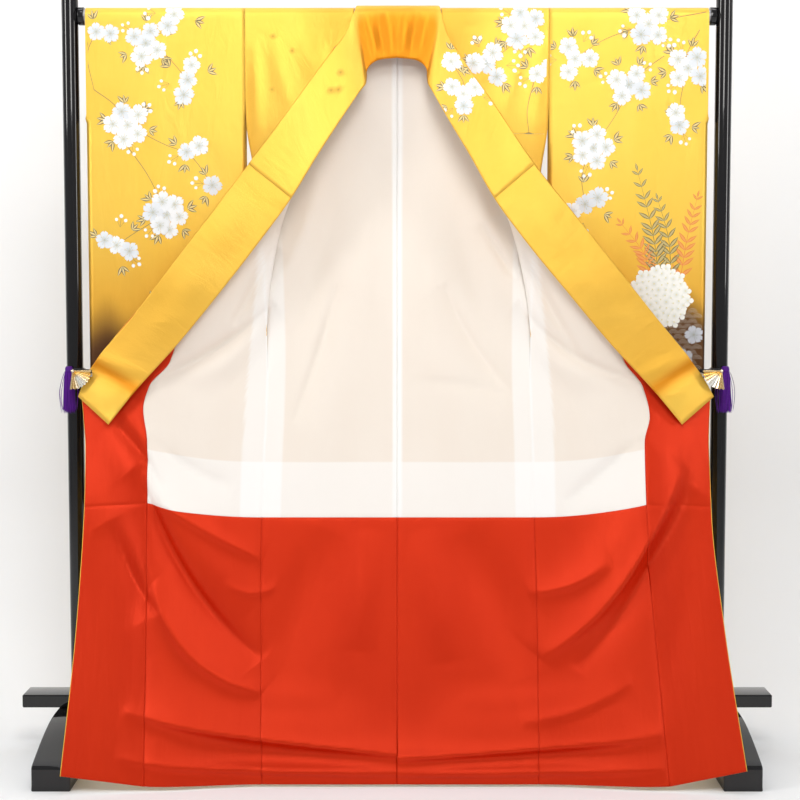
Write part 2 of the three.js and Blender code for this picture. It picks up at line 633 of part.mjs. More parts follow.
// A tassel: a turned head, flattened against the post, with rings of threads rooted in it.
function tasselGeometry() {
  const { head, length, root, foot, flatness, forward } = TASSEL;
  const turned = lathe([[0, -10], [head, -9], [head + 1.5, -4], [head, 1], [head - 2, 4], [0, 5]], 12);
  let solid = toSolid(turned.scale(1, flatness, 1));
  for (const { count, reach } of TASSEL.rings) {
    for (let i = 0; i < count; i += 1) {
      const angle = ((i + reach) / count) * Math.PI * 2;
      const [across, ahead] = [Math.cos(angle) * reach, Math.sin(angle) * reach * flatness];
      const from = new THREE.Vector3(root * across, root * ahead, -6);
      const to = new THREE.Vector3(foot * across, foot * ahead - forward, -length + 5 * (1 - reach));
      solid = solid.add(toSolid(thread(from, to, TASSEL.thread)));
    }
  }
  return toGeometry(solid).translate(TASSEL.x, TASSEL.y, TASSEL.z);
}

for (const side of SIDES) {
  const strap = lathe([[STRAP.inner, 0], [STRAP.outer, 0], [STRAP.outer, STRAP.height], [STRAP.inner, STRAP.height],
    [STRAP.inner, 0]]);
  strap.translate(side.sign * POST.x, 0, STRAP.z);
  lacquered(`strap_${side.name}`, strap);
  add(`clip_${side.name}`, toSide(toGeometry(toSolid(clipGeometry())), side), COLOUR.gold, 0.3, 0.9);
  add(`fan_${side.name}`, toSide(fanGeometry(), side), COLOUR.gold, 0.3, 0.9);
  add(`tassel_${side.name}`, toSide(tasselGeometry(), side), COLOUR.purple, 0.7);
}

export default kimono;
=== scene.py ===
# %% [markdown]
# # A furisode on its kimono stand
#
# A furisode is a kimono with sleeves that reach almost to the ankles. Here it hangs over the rod of a black
# lacquered stand. Its fronts are spread and its collar is clipped to the posts, so we look at its inside:
# white lining above, red lining at the hem, and the yellow satin only where the cloth turns over.
#
# The solids of the kimono and the stand come ready-made, as a frame that never moves. We load them first,
# note how much room they take, and build fine surfaces exactly where they are.

import bpy
import numpy as np
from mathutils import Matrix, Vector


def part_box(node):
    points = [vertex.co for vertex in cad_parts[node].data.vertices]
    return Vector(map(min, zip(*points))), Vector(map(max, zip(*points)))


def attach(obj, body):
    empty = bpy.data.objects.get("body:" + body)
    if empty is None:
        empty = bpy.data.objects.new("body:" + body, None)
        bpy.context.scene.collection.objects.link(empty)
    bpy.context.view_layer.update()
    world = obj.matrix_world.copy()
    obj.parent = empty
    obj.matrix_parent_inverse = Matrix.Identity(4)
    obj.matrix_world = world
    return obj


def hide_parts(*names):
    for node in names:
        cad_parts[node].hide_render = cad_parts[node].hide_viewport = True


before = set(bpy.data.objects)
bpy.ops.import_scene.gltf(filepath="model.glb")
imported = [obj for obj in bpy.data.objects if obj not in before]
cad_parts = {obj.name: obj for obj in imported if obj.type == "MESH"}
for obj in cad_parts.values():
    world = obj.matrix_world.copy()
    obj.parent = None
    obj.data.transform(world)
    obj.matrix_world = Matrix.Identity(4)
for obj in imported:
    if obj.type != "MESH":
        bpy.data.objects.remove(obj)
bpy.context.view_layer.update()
ROOT = "root"

# %% [markdown]
# ## The view and the room
#
# The kimono is seen straight on from three metres away, a little above its middle. A long lens keeps the
# posts upright. The room is one pale sheet of paper: a floor that curves up into a wall. The sheet shows
# its inner face alone, and it is clear from behind, so that the wall doesn't hide the kimono's back.

# %% Camera
CAMERA_PLACE = (0.006, -3.317, 0.994)
CAMERA_PITCH = 4.0            # degrees downwards
LENS = 69.75                  # mm on a 36 mm sensor

camera_data = bpy.data.cameras.new("camera")
camera_data.lens = LENS
camera_data.sensor_width = 36
camera = bpy.data.objects.new("camera", camera_data)
camera.location = CAMERA_PLACE
camera.rotation_euler = (np.radians(90 - CAMERA_PITCH), 0, 0)
bpy.context.scene.collection.objects.link(camera)
bpy.context.scene.camera = camera
bpy.context.scene.view_settings.view_transform = "Standard"

# %% Helpers that put arrays into meshes
MM = 0.001                    # the tables below are in millimetres, and meshes in metres


def mesh_object(name, points, faces, smooth=True, uv=None, values=None):
    """An object from an array of points in metres and a list of faces. smooth is one flag or one per
    face. uv holds two numbers for each point, and values maps a name to an array with one number or one
    colour for each point."""
    mesh = bpy.data.meshes.new(name)
    mesh.from_pydata(np.asarray(points).tolist(), [], [list(face) for face in faces])
    flags = np.broadcast_to(np.asarray(smooth, bool), len(mesh.polygons)).copy()
    mesh.polygons.foreach_set("use_smooth", flags)
    if uv is not None:
        corner_point = np.empty(len(mesh.loops), np.int32)
        mesh.loops.foreach_get("vertex_index", corner_point)
        at_corners = np.asarray(uv, np.float32)[corner_point]
        mesh.uv_layers.new(name="cloth").data.foreach_set("uv", at_corners.ravel())
    for key, value in (values or {}).items():
        value = np.asarray(value, np.float32)
        if value.ndim == 2:
            mesh.attributes.new(key, "FLOAT_COLOR", "POINT").data.foreach_set("color", value.ravel())
        else:
            mesh.attributes.new(key, "FLOAT", "POINT").data.foreach_set("value", value)
    thing = bpy.data.objects.new(name, mesh)
    bpy.context.scene.collection.objects.link(thing)
    return thing


def grid_faces(rows, columns, start=0):
    """The quads of a grid of points that is numbered row by row, each as its four corners."""
    number = np.arange(rows * columns).reshape(rows, columns) + start
    return np.stack([number[:-1, :-1], number[:-1, 1:], number[1:, 1:], number[1:, :-1]], -1).reshape(-1, 4)


def fade(value, start, end):
    """Goes smoothly from 0 at start to 1 at end."""
    k = np.clip((np.asarray(value, float) - start) / (end - start), 0, 1)
    return k * k * (3 - 2 * k)


def bump(value, centre, width):
    """A bell: 1 at the centre, fading to nothing within about two widths."""
    return np.exp(-((np.asarray(value, float) - centre) / width) ** 2)


# %% The paper room
WALL_Y, FRONT_Y, ROOM_HALF, ROOM_HEIGHT, SWEEP = 0.75, -6.0, 5.0, 4.5, 0.5


def paper_room():
    """A profile carried along X: flat floor, a quarter circle of radius SWEEP, then an upright wall."""
    turn = np.linspace(0, np.pi / 2, 17)
    sweep = np.stack([WALL_Y - SWEEP + SWEEP * np.sin(turn), SWEEP - SWEEP * np.cos(turn)], -1)
    profile = np.concatenate([[[FRONT_Y, 0]], sweep, [[WALL_Y, ROOM_HEIGHT]]])
    left, right = [np.insert(profile, 0, x, axis=1) for x in (-ROOM_HALF, ROOM_HALF)]
    points = np.stack([left, right], 1).reshape(-1, 3)
    return mesh_object("paper_room", points, grid_faces(len(profile), 2))


def floor_behind():
    """The floor goes on behind the wall, for a look at the kimono's back."""
    near, far = WALL_Y - SWEEP, -FRONT_Y
    corners = [(-ROOM_HALF, near, 0), (ROOM_HALF, near, 0), (ROOM_HALF, far, 0), (-ROOM_HALF, far, 0)]
    return mesh_object("floor_behind", corners, [(0, 1, 2, 3)])


# %% Paper
PAPER = (0.915, 0.92, 0.925)
paper = bpy.data.materials.new("paper")
paper.use_nodes = True
nodes, links = paper.node_tree.nodes, paper.node_tree.links
matte = nodes["Principled BSDF"]
matte.inputs["Base Color"].default_value = (*PAPER, 1)
matte.inputs["Roughness"].default_value = 0.9
one_sided = nodes.new("ShaderNodeMixShader")
links.new(nodes.new("ShaderNodeNewGeometry").outputs["Backfacing"], one_sided.inputs["Fac"])
links.new(matte.outputs["BSDF"], one_sided.inputs[1])
links.new(nodes.new("ShaderNodeBsdfTransparent").outputs["BSDF"], one_sided.inputs[2])
links.new(one_sided.outputs["Shader"], nodes["Material Output"].inputs["Surface"])

for sheet_of_paper in (paper_room(), floor_behind()):
    sheet_of_paper.data.materials.append(paper)

# %% [markdown]
# ## Light
#
# A soft lamp high in front picks out every flank that faces upwards, and a narrow beam just above the
# camera shines on the satin alone, so that satin which turns away from it deepens to amber. Two weaker
# lamps at the sides and one overhead throw the folds into relief, and the pale surroundings fill the
# shadows.

# %% Lamps
LAMPS = {
    # name: place, target, width, height, power in watts, colour
    "key_softbox": ((0.35, -3.2, 3.3), (0.0, 0.0, 0.8), 1.1, 0.7, 38, (1.0, 0.985, 0.965)),
    "satin_softbox": ((0.35, -3.7, 2.2), (0.0, 0.0, 1.8), 1.0, 0.8, 2.8, (1.0, 0.985, 0.965)),
    "left_softbox": ((-3.0, -1.7, 2.3), (0.0, 0.0, 0.7), 0.6, 1.4, 36, (1.0, 0.985, 0.96)),
    "right_softbox": ((2.9, -1.3, 1.6), (0.1, 0.0, 0.9), 0.5, 1.2, 16, (1.0, 0.985, 0.97)),
    "top_softbox": ((-0.4, -1.9, 3.7), (0.0, 0.0, 0.8), 1.6, 0.5, 16, (1.0, 0.99, 0.98)),
    "wall_lamp": ((0.0, -0.1, 3.9), (0.0, 0.75, 1.2), 3.0, 0.4, 20, (1.0, 1.0, 1.0)),
}
NARROW_BEAMS = {"satin_softbox": 50}     # degrees from edge to edge, where a lamp doesn't shine all round
SURROUNDINGS = (0.93, 0.96, 1.0)
SURROUNDINGS_STRENGTH = 0.40


def lamp(name, place, target, width, height, power, colour):
    """A rectangular area lamp that looks from its place to its target."""
    data = bpy.data.lights.new(name, "AREA")
    data.shape = "RECTANGLE"
    data.size, data.size_y, data.energy, data.color = width, height, power, colour
    data.spread = np.radians(NARROW_BEAMS.get(name, 180))
    thing = bpy.data.objects.new(name, data)
    thing.location = place
    direction = Vector(target) - Vector(place)
    thing.rotation_euler = direction.to_track_quat("-Z", "Y").to_euler()
    bpy.context.scene.collection.objects.link(thing)


for lamp_name, facts in LAMPS.items():
    lamp(lamp_name, *facts)
world = bpy.data.worlds.new("surroundings")
world.use_nodes = True
world.node_tree.nodes["Background"].inputs["Color"].default_value = (*SURROUNDINGS, 1)
world.node_tree.nodes["Background"].inputs["Strength"].default_value = SURROUNDINGS_STRENGTH
bpy.context.scene.world = world

# %% [markdown]
# ## How the cloth hangs
#
# A kimono is cut from straight lengths of cloth, so every row of it can be written down as a few widths:
# where the side seam is, where the overlap panel starts, where the front edge is. We keep one such table
# for each half and run a smooth curve down each column. A point of the cloth is then a function of two
# numbers: how far across, and how far below the shoulder. `drop` is always that second number, in
# millimetres.

# %% Sizes from the frame
def corners_mm(node):
    """The lowest and highest corner of a CAD node, in millimetres."""
    return [np.array(corner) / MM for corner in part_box(node)]


rod_low, rod_high = corners_mm("rod")
ROD_RADIUS = (rod_high[2] - rod_low[2]) / 2
ROD_HEIGHT = (rod_high[2] + rod_low[2]) / 2
DRAPE_RADIUS = ROD_RADIUS + 1.2          # of the lining's face over the rod
SHOULDER = ROD_HEIGHT + DRAPE_RADIUS     # height of the cloth over the rod
HEM_DROP = 1582
ARMHOLE_DROP, OKUMI_TOP, LINING_DROP, NECK_CUT = 220, 262, 1065, 3.3
HEM_FORWARD, BACK_CURVE, SIDE_FOLD_GAP = 279, 1.8, 4
BACK_FREE = 420                          # drop from which the back has its full depth of folds
SIDES_JOINED = 490                       # drop from which the front meets the back at the side
OPENS_FROM, OPEN_BELOW = 600, 760        # drops over which the side seam opens flat
FOLDS_FROM, FOLDS_FULL = 330, 520        # drops over which the folds of the front begin
LINING, OUTER, BOTH_CLOTHS = (0.0, 1.0), (1.3, 2.5), (0.0, 2.5)   # walls, as distances from the lining's face
LEFT, RIGHT = "left", "right"

HALF_COLUMNS = ("side", "pull", "seam", "edge", "seam_forward", "edge_forward", "seam_lift", "edge_lift")
HALF_ROWS = {
    LEFT: [
        (0, 320, 0, 89, 89, 0, 0, 0, 0),
        (42, 320, 20, 100, 100, 3, 3, 0, 0),
        (90, 320, 70, 134, 134, 14, 14, 0, 0),
        (165, 320, 130, 187, 187, 26, 26, 0, 0),
        (240, 318, 134, 243, 243, 37, 37, 0, 0),
        (330, 305, 130, 291, 309, 47, 46, 0, 0),
        (468, 286, 98, 366, 416, 56, 52, 0, 0),
        (605, 279, 82, 437, 522, 58, 50, 6, 0),
        (757, 275, 42, 478, 644, 50, 36, 15, 0),
        (812, 276, 26, 521, 667, 50, 36, 20, 4),
        (862, 277, 16, 533, 662, 57, 45, 23, 7),
        (936, 280, 0, 523, 655, 72, 64, 28, 14),
        (1090, 283, 0, 521, 652, 106, 108, 30, 24),
        (1300, 280, 0, 515, 655, 168, 178, 20, 28),
        (1582, 271, 0, 504, 668, 276, 291, 4, 30),
    ],
    RIGHT: [
        (0, 320, 0, 92, 92, 0, 0, 0, 0),
        (42, 320, 20, 98, 98, 3, 3, 0, 0),
        (90, 320, 74, 124, 124, 14, 14, 0, 0),
        (165, 320, 136, 173, 173, 26, 26, 0, 0),
        (240, 318, 138, 224, 224, 37, 37, 0, 0),
        (330, 306, 130, 268, 286, 47, 46, 0, 0),
        (468, 288, 98, 352, 398, 56, 52, 0, 0),
        (605, 284, 82, 430, 508, 58, 50, 6, 0),
        (757, 282, 42, 478, 630, 50, 36, 15, 0),
        (812, 283, 26, 516, 662, 50, 36, 20, 4),
        (880, 285, 12, 530, 658, 60, 48, 24, 8),
        (936, 286, 0, 518, 655, 72, 64, 28, 14),
        (1090, 287, 0, 516, 655, 106, 108, 30, 24),
        (1300, 288, 0, 528, 668, 168, 178, 20, 28),
        (1582, 284, 0, 543, 694, 276, 291, 4, 40),
    ],
}

# Soft ridges (depth towards the front) and troughs (negative): where each starts and ends as out, drop, how
# far it bows aside, its width and its depth. The frame's solids have the first seven of each half as well,
# the first two of them in a slightly different shape.
FOLDS = {
    LEFT: [
        (262, 520, 470, 790, -68, 34, 12),
        (250, 560, 420, 850, -34, 26, -4),
        (600, 860, 300, 1250, 30, 46, 9),
        (640, 900, 470, 1500, 24, 50, -8),
        (60, 420, 190, 1050, 14, 50, 7),
        (520, 1440, 40, 1475, 6, 36, 9),
        (440, 1530, 0, 1530, 0, 26, -7),
        (163, 340, 262, 600, -12, 22, 8),
        (120, 380, 240, 860, 10, 26, -6),
        (40, 300, 90, 900, 8, 34, 4),
        (150, 1090, 240, 1400, 8, 50, -7),
        (60, 1090, 80, 1330, 0, 30, 5),
        (420, 1390, 120, 1420, 10, 22, 4),
    ],
    RIGHT: [
        (266, 540, 480, 800, -70, 34, 12),
        (258, 590, 420, 880, -30, 26, -4),
        (610, 870, 320, 1270, 34, 48, 9),
        (640, 920, 500, 1480, 20, 50, -8),
        (50, 460, 170, 1080, 12, 46, 7),
        (500, 1455, 60, 1465, 8, 34, 8),
        (460, 1525, 40, 1535, 0, 26, -7),
        (166, 360, 250, 590, -10, 24, 8),
        (110, 400, 230, 880, 10, 26, -6),
        (36, 320, 84, 880, 8, 34, 4),
        (150, 1090, 260, 1380, 8, 46, -8),
        (50, 1090, 100, 1350, 0, 32, 5),
        (430, 1400, 100, 1425, 10, 22, 4),
    ],
}
# Creases in the same form, where the cloth is drawn hard towards the clips or sags on a seam. Each comes to
# an edge: a ridge falls off steeply below it, a trough rises steeply above it, and the other side is broad.
CREASES = {
    LEFT: [
        (261, 498, 347, 672, -1, 20, -21),
        (260, 617, 505, 795, -13, 34, -28),
        (341, 1005, 521, 925, -8, 26, -11),
        (126, 574, 219, 874, -5, 30, -15),
        (279, 1349, 543, 986, -37, 36, -28),
        (506, 1220, 273, 1408, 42, 30, 19),
        (555, 1453, -150, 1535, 8, 24, 23),
        (560, 1537, -150, 1556, 10, 18, 17),
        (500, 1050, 280, 1150, 1, 20, 11),
        (355, 1201, 252, 1207, 13, 9, 5.2),
        (499, 1276, 594, 1097, -11, 30, -15),
        (486, 1029, 601, 873, 2, 22, -15),
    ],
    RIGHT: [
        (269, 509, 383, 734, -5, 20, -19),
        (255, 615, 515, 800, -29, 30, -23),
        (98, 578, 249, 812, -15, 40, -17),
        (346, 1040, 513, 924, 0, 24, -11),
        (20, 782, 254, 818, 10, 14, -5.2),
        (177, 449, 248, 564, 0, 22, -15),
        (599, 977, 295, 1345, 43, 34, 25),
        (367, 1368, 613, 1025, -21, 30, -17),
        (440, 1160, 270, 1216, 12, 24, 13),
        (480, 1390, 250, 1462, 14, 26, 9),
        (540, 1490, -150, 1535, 6, 24, 23),
        (537, 1550, -150, 1558, 5, 18, 17),
    ],
}
STEEP = 0.4                   # share of a crease's width that its steep side takes
CREASE_EDGE = 2.5             # mm over which a crease turns at its edge
# Shallow folds of the fronts below the shoulder, beside the neck and the armhole.
SHOULDER_FOLDS = [
    (262, 30, 214, 250, 6, 17, 2.6),
    (206, 20, 150, 190, 4, 15, 2.4),
    (300, 60, 292, 260, 0, 12, 2.4),
]


# %% Smooth curves and folds
def smooth_curve(at, value):
    """A cubic curve through rows that never overshoots: the slope at a row is the harmonic mean of the
    slopes beside it, or level where they lean opposite ways."""
    at, value = np.asarray(at, float), np.asarray(value, float)
    slope = np.diff(value) / np.diff(at)
    before, after = np.append(slope[:1], slope), np.append(slope, slope[-1:])
    same_way = before * after > 0
    tangent = np.where(same_way, 2 * before * after / np.where(same_way, before + after, 1), 0)

    def curve(a):
        row = np.clip(np.searchsorted(at, a, side="right") - 1, 0, len(at) - 2)
        span = at[row + 1] - at[row]
        k = np.clip((a - at[row]) / span, 0, 1)
        return ((2 * k**3 - 3 * k**2 + 1) * value[row] + (k**3 - 2 * k**2 + k) * span * tangent[row]
                + (3 * k**2 - 2 * k**3) * value[row + 1] + (k**3 - k**2) * span * tangent[row + 1])

    return curve


def curves_of(columns, rows):
    """One smooth curve for each column of a table, over its first column."""
    rows = np.array(rows, float)
    return {name: smooth_curve(rows[:, 0], rows[:, i + 1]) for i, name in enumerate(columns)}


def beside_line(fold, out, drop):
    """How far along a fold's bowed line a point lies, from 0 to 1, and how far aside of it, in
    millimetres."""
    from_out, from_drop, to_out, to_drop, bow = fold[:5]
    run_out, run_drop = to_out - from_out, to_drop - from_drop
    length = np.hypot(run_out, run_drop)
    along = np.clip(((out - from_out) * run_out + (drop - from_drop) * run_drop) / length**2, 0, 1)
    off_chord = ((out - from_out) * run_drop - (drop - from_drop) * run_out) / length
    return along, off_chord - bow * 4 * along * (1 - along)


def folds_forward(folds, out, drop):
    """How far all folds together stand forwards: each fades like a bell across its line, like a sine
    along it."""
    total = np.zeros(np.broadcast(out, drop).shape)
    for fold in folds:
        along, aside = beside_line(fold, out, drop)
        width, depth = fold[5:]
        total += depth * np.exp(-((aside / width) ** 2)) * np.sin(np.pi * along) ** 0.8
    return total


def creases_forward(creases, out, drop):
    """The same for creases, which come to an edge at their line and are steep on the side where aside is
    positive."""
    total = np.zeros(np.broadcast(out, drop).shape)
    for crease in creases:
        along, aside = beside_line(crease, out, drop)
        width, depth = crease[5:]
        reach = np.sqrt(aside**2 + CREASE_EDGE**2) - CREASE_EDGE
        across = np.exp(-reach / np.where(aside > 0, width * STEEP, width))
        total += depth * across * np.sin(np.pi * along) ** 0.6
    return total


# %% The cloth of one half, as if it were the half at +X
def over_rod(drop):
    """Half the thickness of what hangs over the rod: a quarter circle, then plumb."""
    k = np.minimum(drop / DRAPE_RADIUS, 1)
    return DRAPE_RADIUS * np.sqrt(1 - (1 - k) ** 2)


def back_y(drop):
    """The back leaves the vertical late and reaches forwards at the hem, as a power of the drop."""
    low = np.maximum((drop - ARMHOLE_DROP) / (HEM_DROP - ARMHOLE_DROP), 0)
    return over_rod(drop) - HEM_FORWARD * low**BACK_CURVE


def seam_dip(distance):
    """Cloth is drawn in along a seam: a narrow groove."""
    return 0.9 * np.exp(-((distance / 3.5) ** 2))


def kimono_half(side):
    """The two surfaces of a half. back(c, drop): c from 0 at the middle of the back to 1 at the side seam.
    front(s, drop): s from 0 at the side seam through 1 at the overlap seam to 2 at the front edge."""
    at = curves_of(HALF_COLUMNS, HALF_ROWS[side])

    def forward(out, drop):
        return folds_forward(FOLDS[side], out, drop) + creases_forward(CREASES[side], out, drop)

    def hem_dip(drop):
        return seam_dip(drop - LINING_DROP)

    def back(c, drop):
        out = c * at["side"](drop)
        free = fade(drop, ARMHOLE_DROP, BACK_FREE)
        middle = seam_dip(out) * fade(drop, 30, 60) * (0.1 + 0.9 * fade(drop, LINING_DROP - 12, LINING_DROP))
        dip = middle + seam_dip(out - at["side"](drop)) * free + hem_dip(drop)
        y = back_y(drop) - free * forward(out, drop) + dip
        return np.stack(np.broadcast_arrays(out, y, SHOULDER - drop), -1)

    def front(s, drop):
        seam = np.where(drop < OKUMI_TOP, at["edge"](drop), at["seam"](drop))
        joined = fade(drop, ARMHOLE_DROP, SIDES_JOINED)
        opens = fade(drop, OPENS_FROM, OPEN_BELOW)
        apart = SIDE_FOLD_GAP * (1 - opens)
        side_y = -over_rod(drop) * (1 - joined) + (back_y(drop) - apart) * joined
        seam_y = -over_rod(drop) - at["seam_forward"](drop)
        edge_y = -over_rod(drop) - at["edge_forward"](drop)
        side_out, pull = at["side"](drop), at["pull"](drop)
        # Up to the overlap seam: a cubic whose middle handles are pulled inwards, so the front doubles back.
        k = np.minimum(s, 1)
        handle_1 = side_out + (seam - side_out) / 3 - pull
        handle_2 = side_out + (seam - side_out) * 2 / 3 - pull
        w0, w1, w2, w3 = (1 - k) ** 3, 3 * (1 - k) ** 2 * k, 3 * (1 - k) * k**2, k**3
        out = w0 * side_out + w1 * handle_1 + w2 * handle_2 + w3 * seam
        y = (w0 + w1) * side_y + (w2 + w3) * seam_y
        lift = at["seam_lift"](drop) * k**2
        # Past it: straight to the front edge.
        past = np.maximum(s - 1, 0)
        out = out + past * (at["edge"](drop) - seam)
        y = y + past * (edge_y - seam_y)
        lift = lift + past * (at["edge_lift"](drop) - at["seam_lift"](drop))
        folded = (fade(s, 0, 0.5) * (1 - opens) + opens) * fade(drop, FOLDS_FROM, FOLDS_FULL)
        side_dip = seam_dip(out - side_out) * opens * (s < 0.5)
        past_seam = (s - 1) * (at["edge"](drop) - seam)
        okumi_dip = seam_dip(past_seam) * fade(drop, OKUMI_TOP, FOLDS_FROM) * (s > 0.5)
        y = y - folded * forward(out, drop) - folds_forward(SHOULDER_FOLDS, out, drop)
        y = y + side_dip + okumi_dip + hem_dip(drop)
        return np.stack(np.broadcast_arrays(out, y, SHOULDER - drop + lift), -1)

    return at, back, front


# %% [markdown]
# ## From a surface to a piece of cloth
#
# A grid of points becomes cloth in three moves: grids that share an edge are joined there, each point gets
# a normal from the faces around it, and a wall is drawn between two distances along the normals. The
# linings lie next to the base surface and the yellow satin a few tenths of a millimetre outside them, so
# that the layers meet only where a crease is very sharp.

# %% Cloth helpers
WELD = 0.002                  # mm within which two points are one


def cloth_of(*grids):
    """One cloth from grids (tag, across, down, place), where place(across, down) gives points in
    millimetres. Points that lie on each other become one, and quads that close up become triangles or
    vanish."""
    points, flat, faces, tag, middle = [], [], [], [], []
    count = 0
    for name, across, down, place in grids:
        a, d = np.broadcast_arrays(across[None, :], down[:, None])
        points.append(place(a, d).reshape(-1, 3))
        flat.append(np.stack([a, d], -1).reshape(-1, 2))
        quads = grid_faces(len(down), len(across), count)
        count += a.size
        faces.append(quads)
        tag.append(np.full(len(quads), name))
        mid_a, mid_d = (across[1:] + across[:-1]) / 2, (down[1:] + down[:-1]) / 2
        middle.append(np.stack(np.broadcast_arrays(mid_a[None, :], mid_d[:, None]), -1).reshape(-1, 2))
    points, flat = np.concatenate(points), np.concatenate(flat)
    rounded = np.round(points / WELD).astype(np.int64)
    _, first, same = np.unique(rounded, axis=0, return_index=True, return_inverse=True)
    quads = same.reshape(-1)[np.concatenate(faces)]
    triangles = np.concatenate([quads[:, [0, 1, 2]], quads[:, [0, 2, 3]]])
    tag, middle = np.tile(np.concatenate(tag), 2), np.tile(np.concatenate(middle), (2, 1))
    whole = (triangles != np.roll(triangles, 1, axis=1)).all(1)
    cloth = {"points": points[first], "flat": flat[first], "faces": triangles[whole], "tag": tag[whole],
             "across": middle[whole, 0], "down": middle[whole, 1]}
    cloth["normals"] = point_normals(cloth["points"], cloth["faces"])
    return cloth


def point_normals(points, faces):
    """Each point's normal: the sum of its faces' normals, each as long as twice its face's area."""
    a, b, c = [points[faces[:, i]] for i in range(3)]
    face_normals = np.cross(b - a, c - a)
    total = np.zeros_like(points)
    for i in range(3):
        np.add.at(total, faces[:, i], face_normals)
    return total / np.maximum(np.linalg.norm(total, axis=1, keepdims=True), 1e-12)


def wall_of(cloth, near, far, keep=None):
    """A closed wall over the faces that keep chooses, from near to far along the normals: both skins,
    and a rim of two triangles along each open edge. Returns points, faces, smooth flags and the points'
    numbers in the cloth."""
    faces = cloth["faces"] if keep is None else cloth["faces"][keep]
    used, faces = np.unique(faces, return_inverse=True)
    faces = faces.reshape(-1, 3)
    points, normals = cloth["points"][used], cloth["normals"][used]
    count = len(used)
    edges = np.concatenate([faces[:, [0, 1]], faces[:, [1, 2]], faces[:, [2, 0]]])
    there, back = edges[:, 0] * count + edges[:, 1], edges[:, 1] * count + edges[:, 0]
    a, b = edges[~np.isin(there, back)].T
    rim = np.concatenate([np.stack([a, b, b + count], 1), np.stack([a, b + count, a + count], 1)])
    skins = np.concatenate([faces + count, faces[:, ::-1]])
    smooth = np.concatenate([np.ones(len(skins), bool), np.zeros(len(rim), bool)])
    both = np.concatenate([points + normals * near, points + normals * far])
    return both, np.concatenate([skins, rim]), smooth, np.tile(used, 2)


def cloth_piece(name, cloth, wall, keep=None, mirror=False, unit=(1, 1), values=None):
    """A piece of cloth as an object. unit says how many millimetres one step across and down is, for the
    weave. values are arrays over the cloth's points."""
    points, faces, smooth, number = wall_of(cloth, *wall, keep)
    if mirror:
        points, faces = points * (-1, 1, 1), faces[:, ::-1]
    values = {key: value[number] for key, value in (values or {}).items()}
    piece = mesh_object(name, points * MM, faces, smooth, cloth["flat"][number] * unit * MM, values)
    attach(piece, ROOT)
    return piece


def sheet_area(cloth, keep=slice(None)):
    """The area of the chosen faces in square metres."""
    a, b, c = [cloth["points"][cloth["faces"][keep][:, i]] for i in range(3)]
    return np.linalg.norm(np.cross(b - a, c - a), axis=1).sum() / 2 * MM**2


def spaced(start, end, step):
    """Evenly spaced values from start to end, about a step apart."""
    return np.linspace(start, end, max(int(round((end - start) / step)), 1) + 1)


def crowded(count):
    """Values from 0 to 1 that lie closer together towards both ends, as seams need."""
    k = np.linspace(0, 1, count + 1)
    return 0.45 * k + 0.55 * (1 - np.cos(np.pi * k)) / 2

# %% [markdown]
# ## Finishes
#
# Three silks are seen here: a heavy yellow satin, a thin cream lining and a red lining with a little body.
# They share one weave, which is a node group, so that its scale and depth are set once for each cloth. Silk
# keeps its colour in the light and loses it at a grazing angle, which the sheen of the shader does well.

# %% Node helpers
def new_material(name, colour, roughness, metallic=0.0, **sockets):
    """A material with one Principled BSDF. sockets are values for its other sockets, with _ for each
    space."""
    material = bpy.data.materials.new(name)
    material.use_nodes = True
    shader = material.node_tree.nodes["Principled BSDF"]
    shader.inputs["Base Color"].default_value = (*colour, 1)
    shader.inputs["Roughness"].default_value = roughness
    shader.inputs["Metallic"].default_value = metallic
    for socket, value in sockets.items():
        shader.inputs[socket.replace("_", " ")].default_value = value
    return material, material.node_tree, shader


def node(tree, kind, links=None, **settings):
    """A node with its settings. links maps an input to a value or to another node's output."""
    made = tree.nodes.new(kind)
    for key, value in settings.items():
        setattr(made, key, value)
    for key, value in (links or {}).items():
        socket = made.inputs[key]
        if isinstance(value, bpy.types.NodeSocket):
            tree.links.new(value, socket)
        else:
            socket.default_value = value
    return made


def blend_colours(tree, share, first, second):
    """The output of a Mix node between two colours."""
    mix = node(tree, "ShaderNodeMix", data_type="RGBA")
    for socket, value in ((mix.inputs[0], share), (mix.inputs[6], first), (mix.inputs[7], second)):
        if isinstance(value, bpy.types.NodeSocket):
            tree.links.new(value, socket)
        else:
            socket.default_value = value
    return mix.outputs[2]


def math_node(tree, operation, first, second=0.0):
    """The output of a Math node."""
    return node(tree, "ShaderNodeMath", {0: first, 1: second}, operation=operation).outputs[0]


def named_value(tree, name):
    """The Attribute node of a value that the mesh carries at its points."""
    return node(tree, "ShaderNodeAttribute", attribute_name=name, attribute_type="GEOMETRY")


# %% The weave, shared by every silk
THREAD = 0.0011               # metres from one thread of the weave to the next


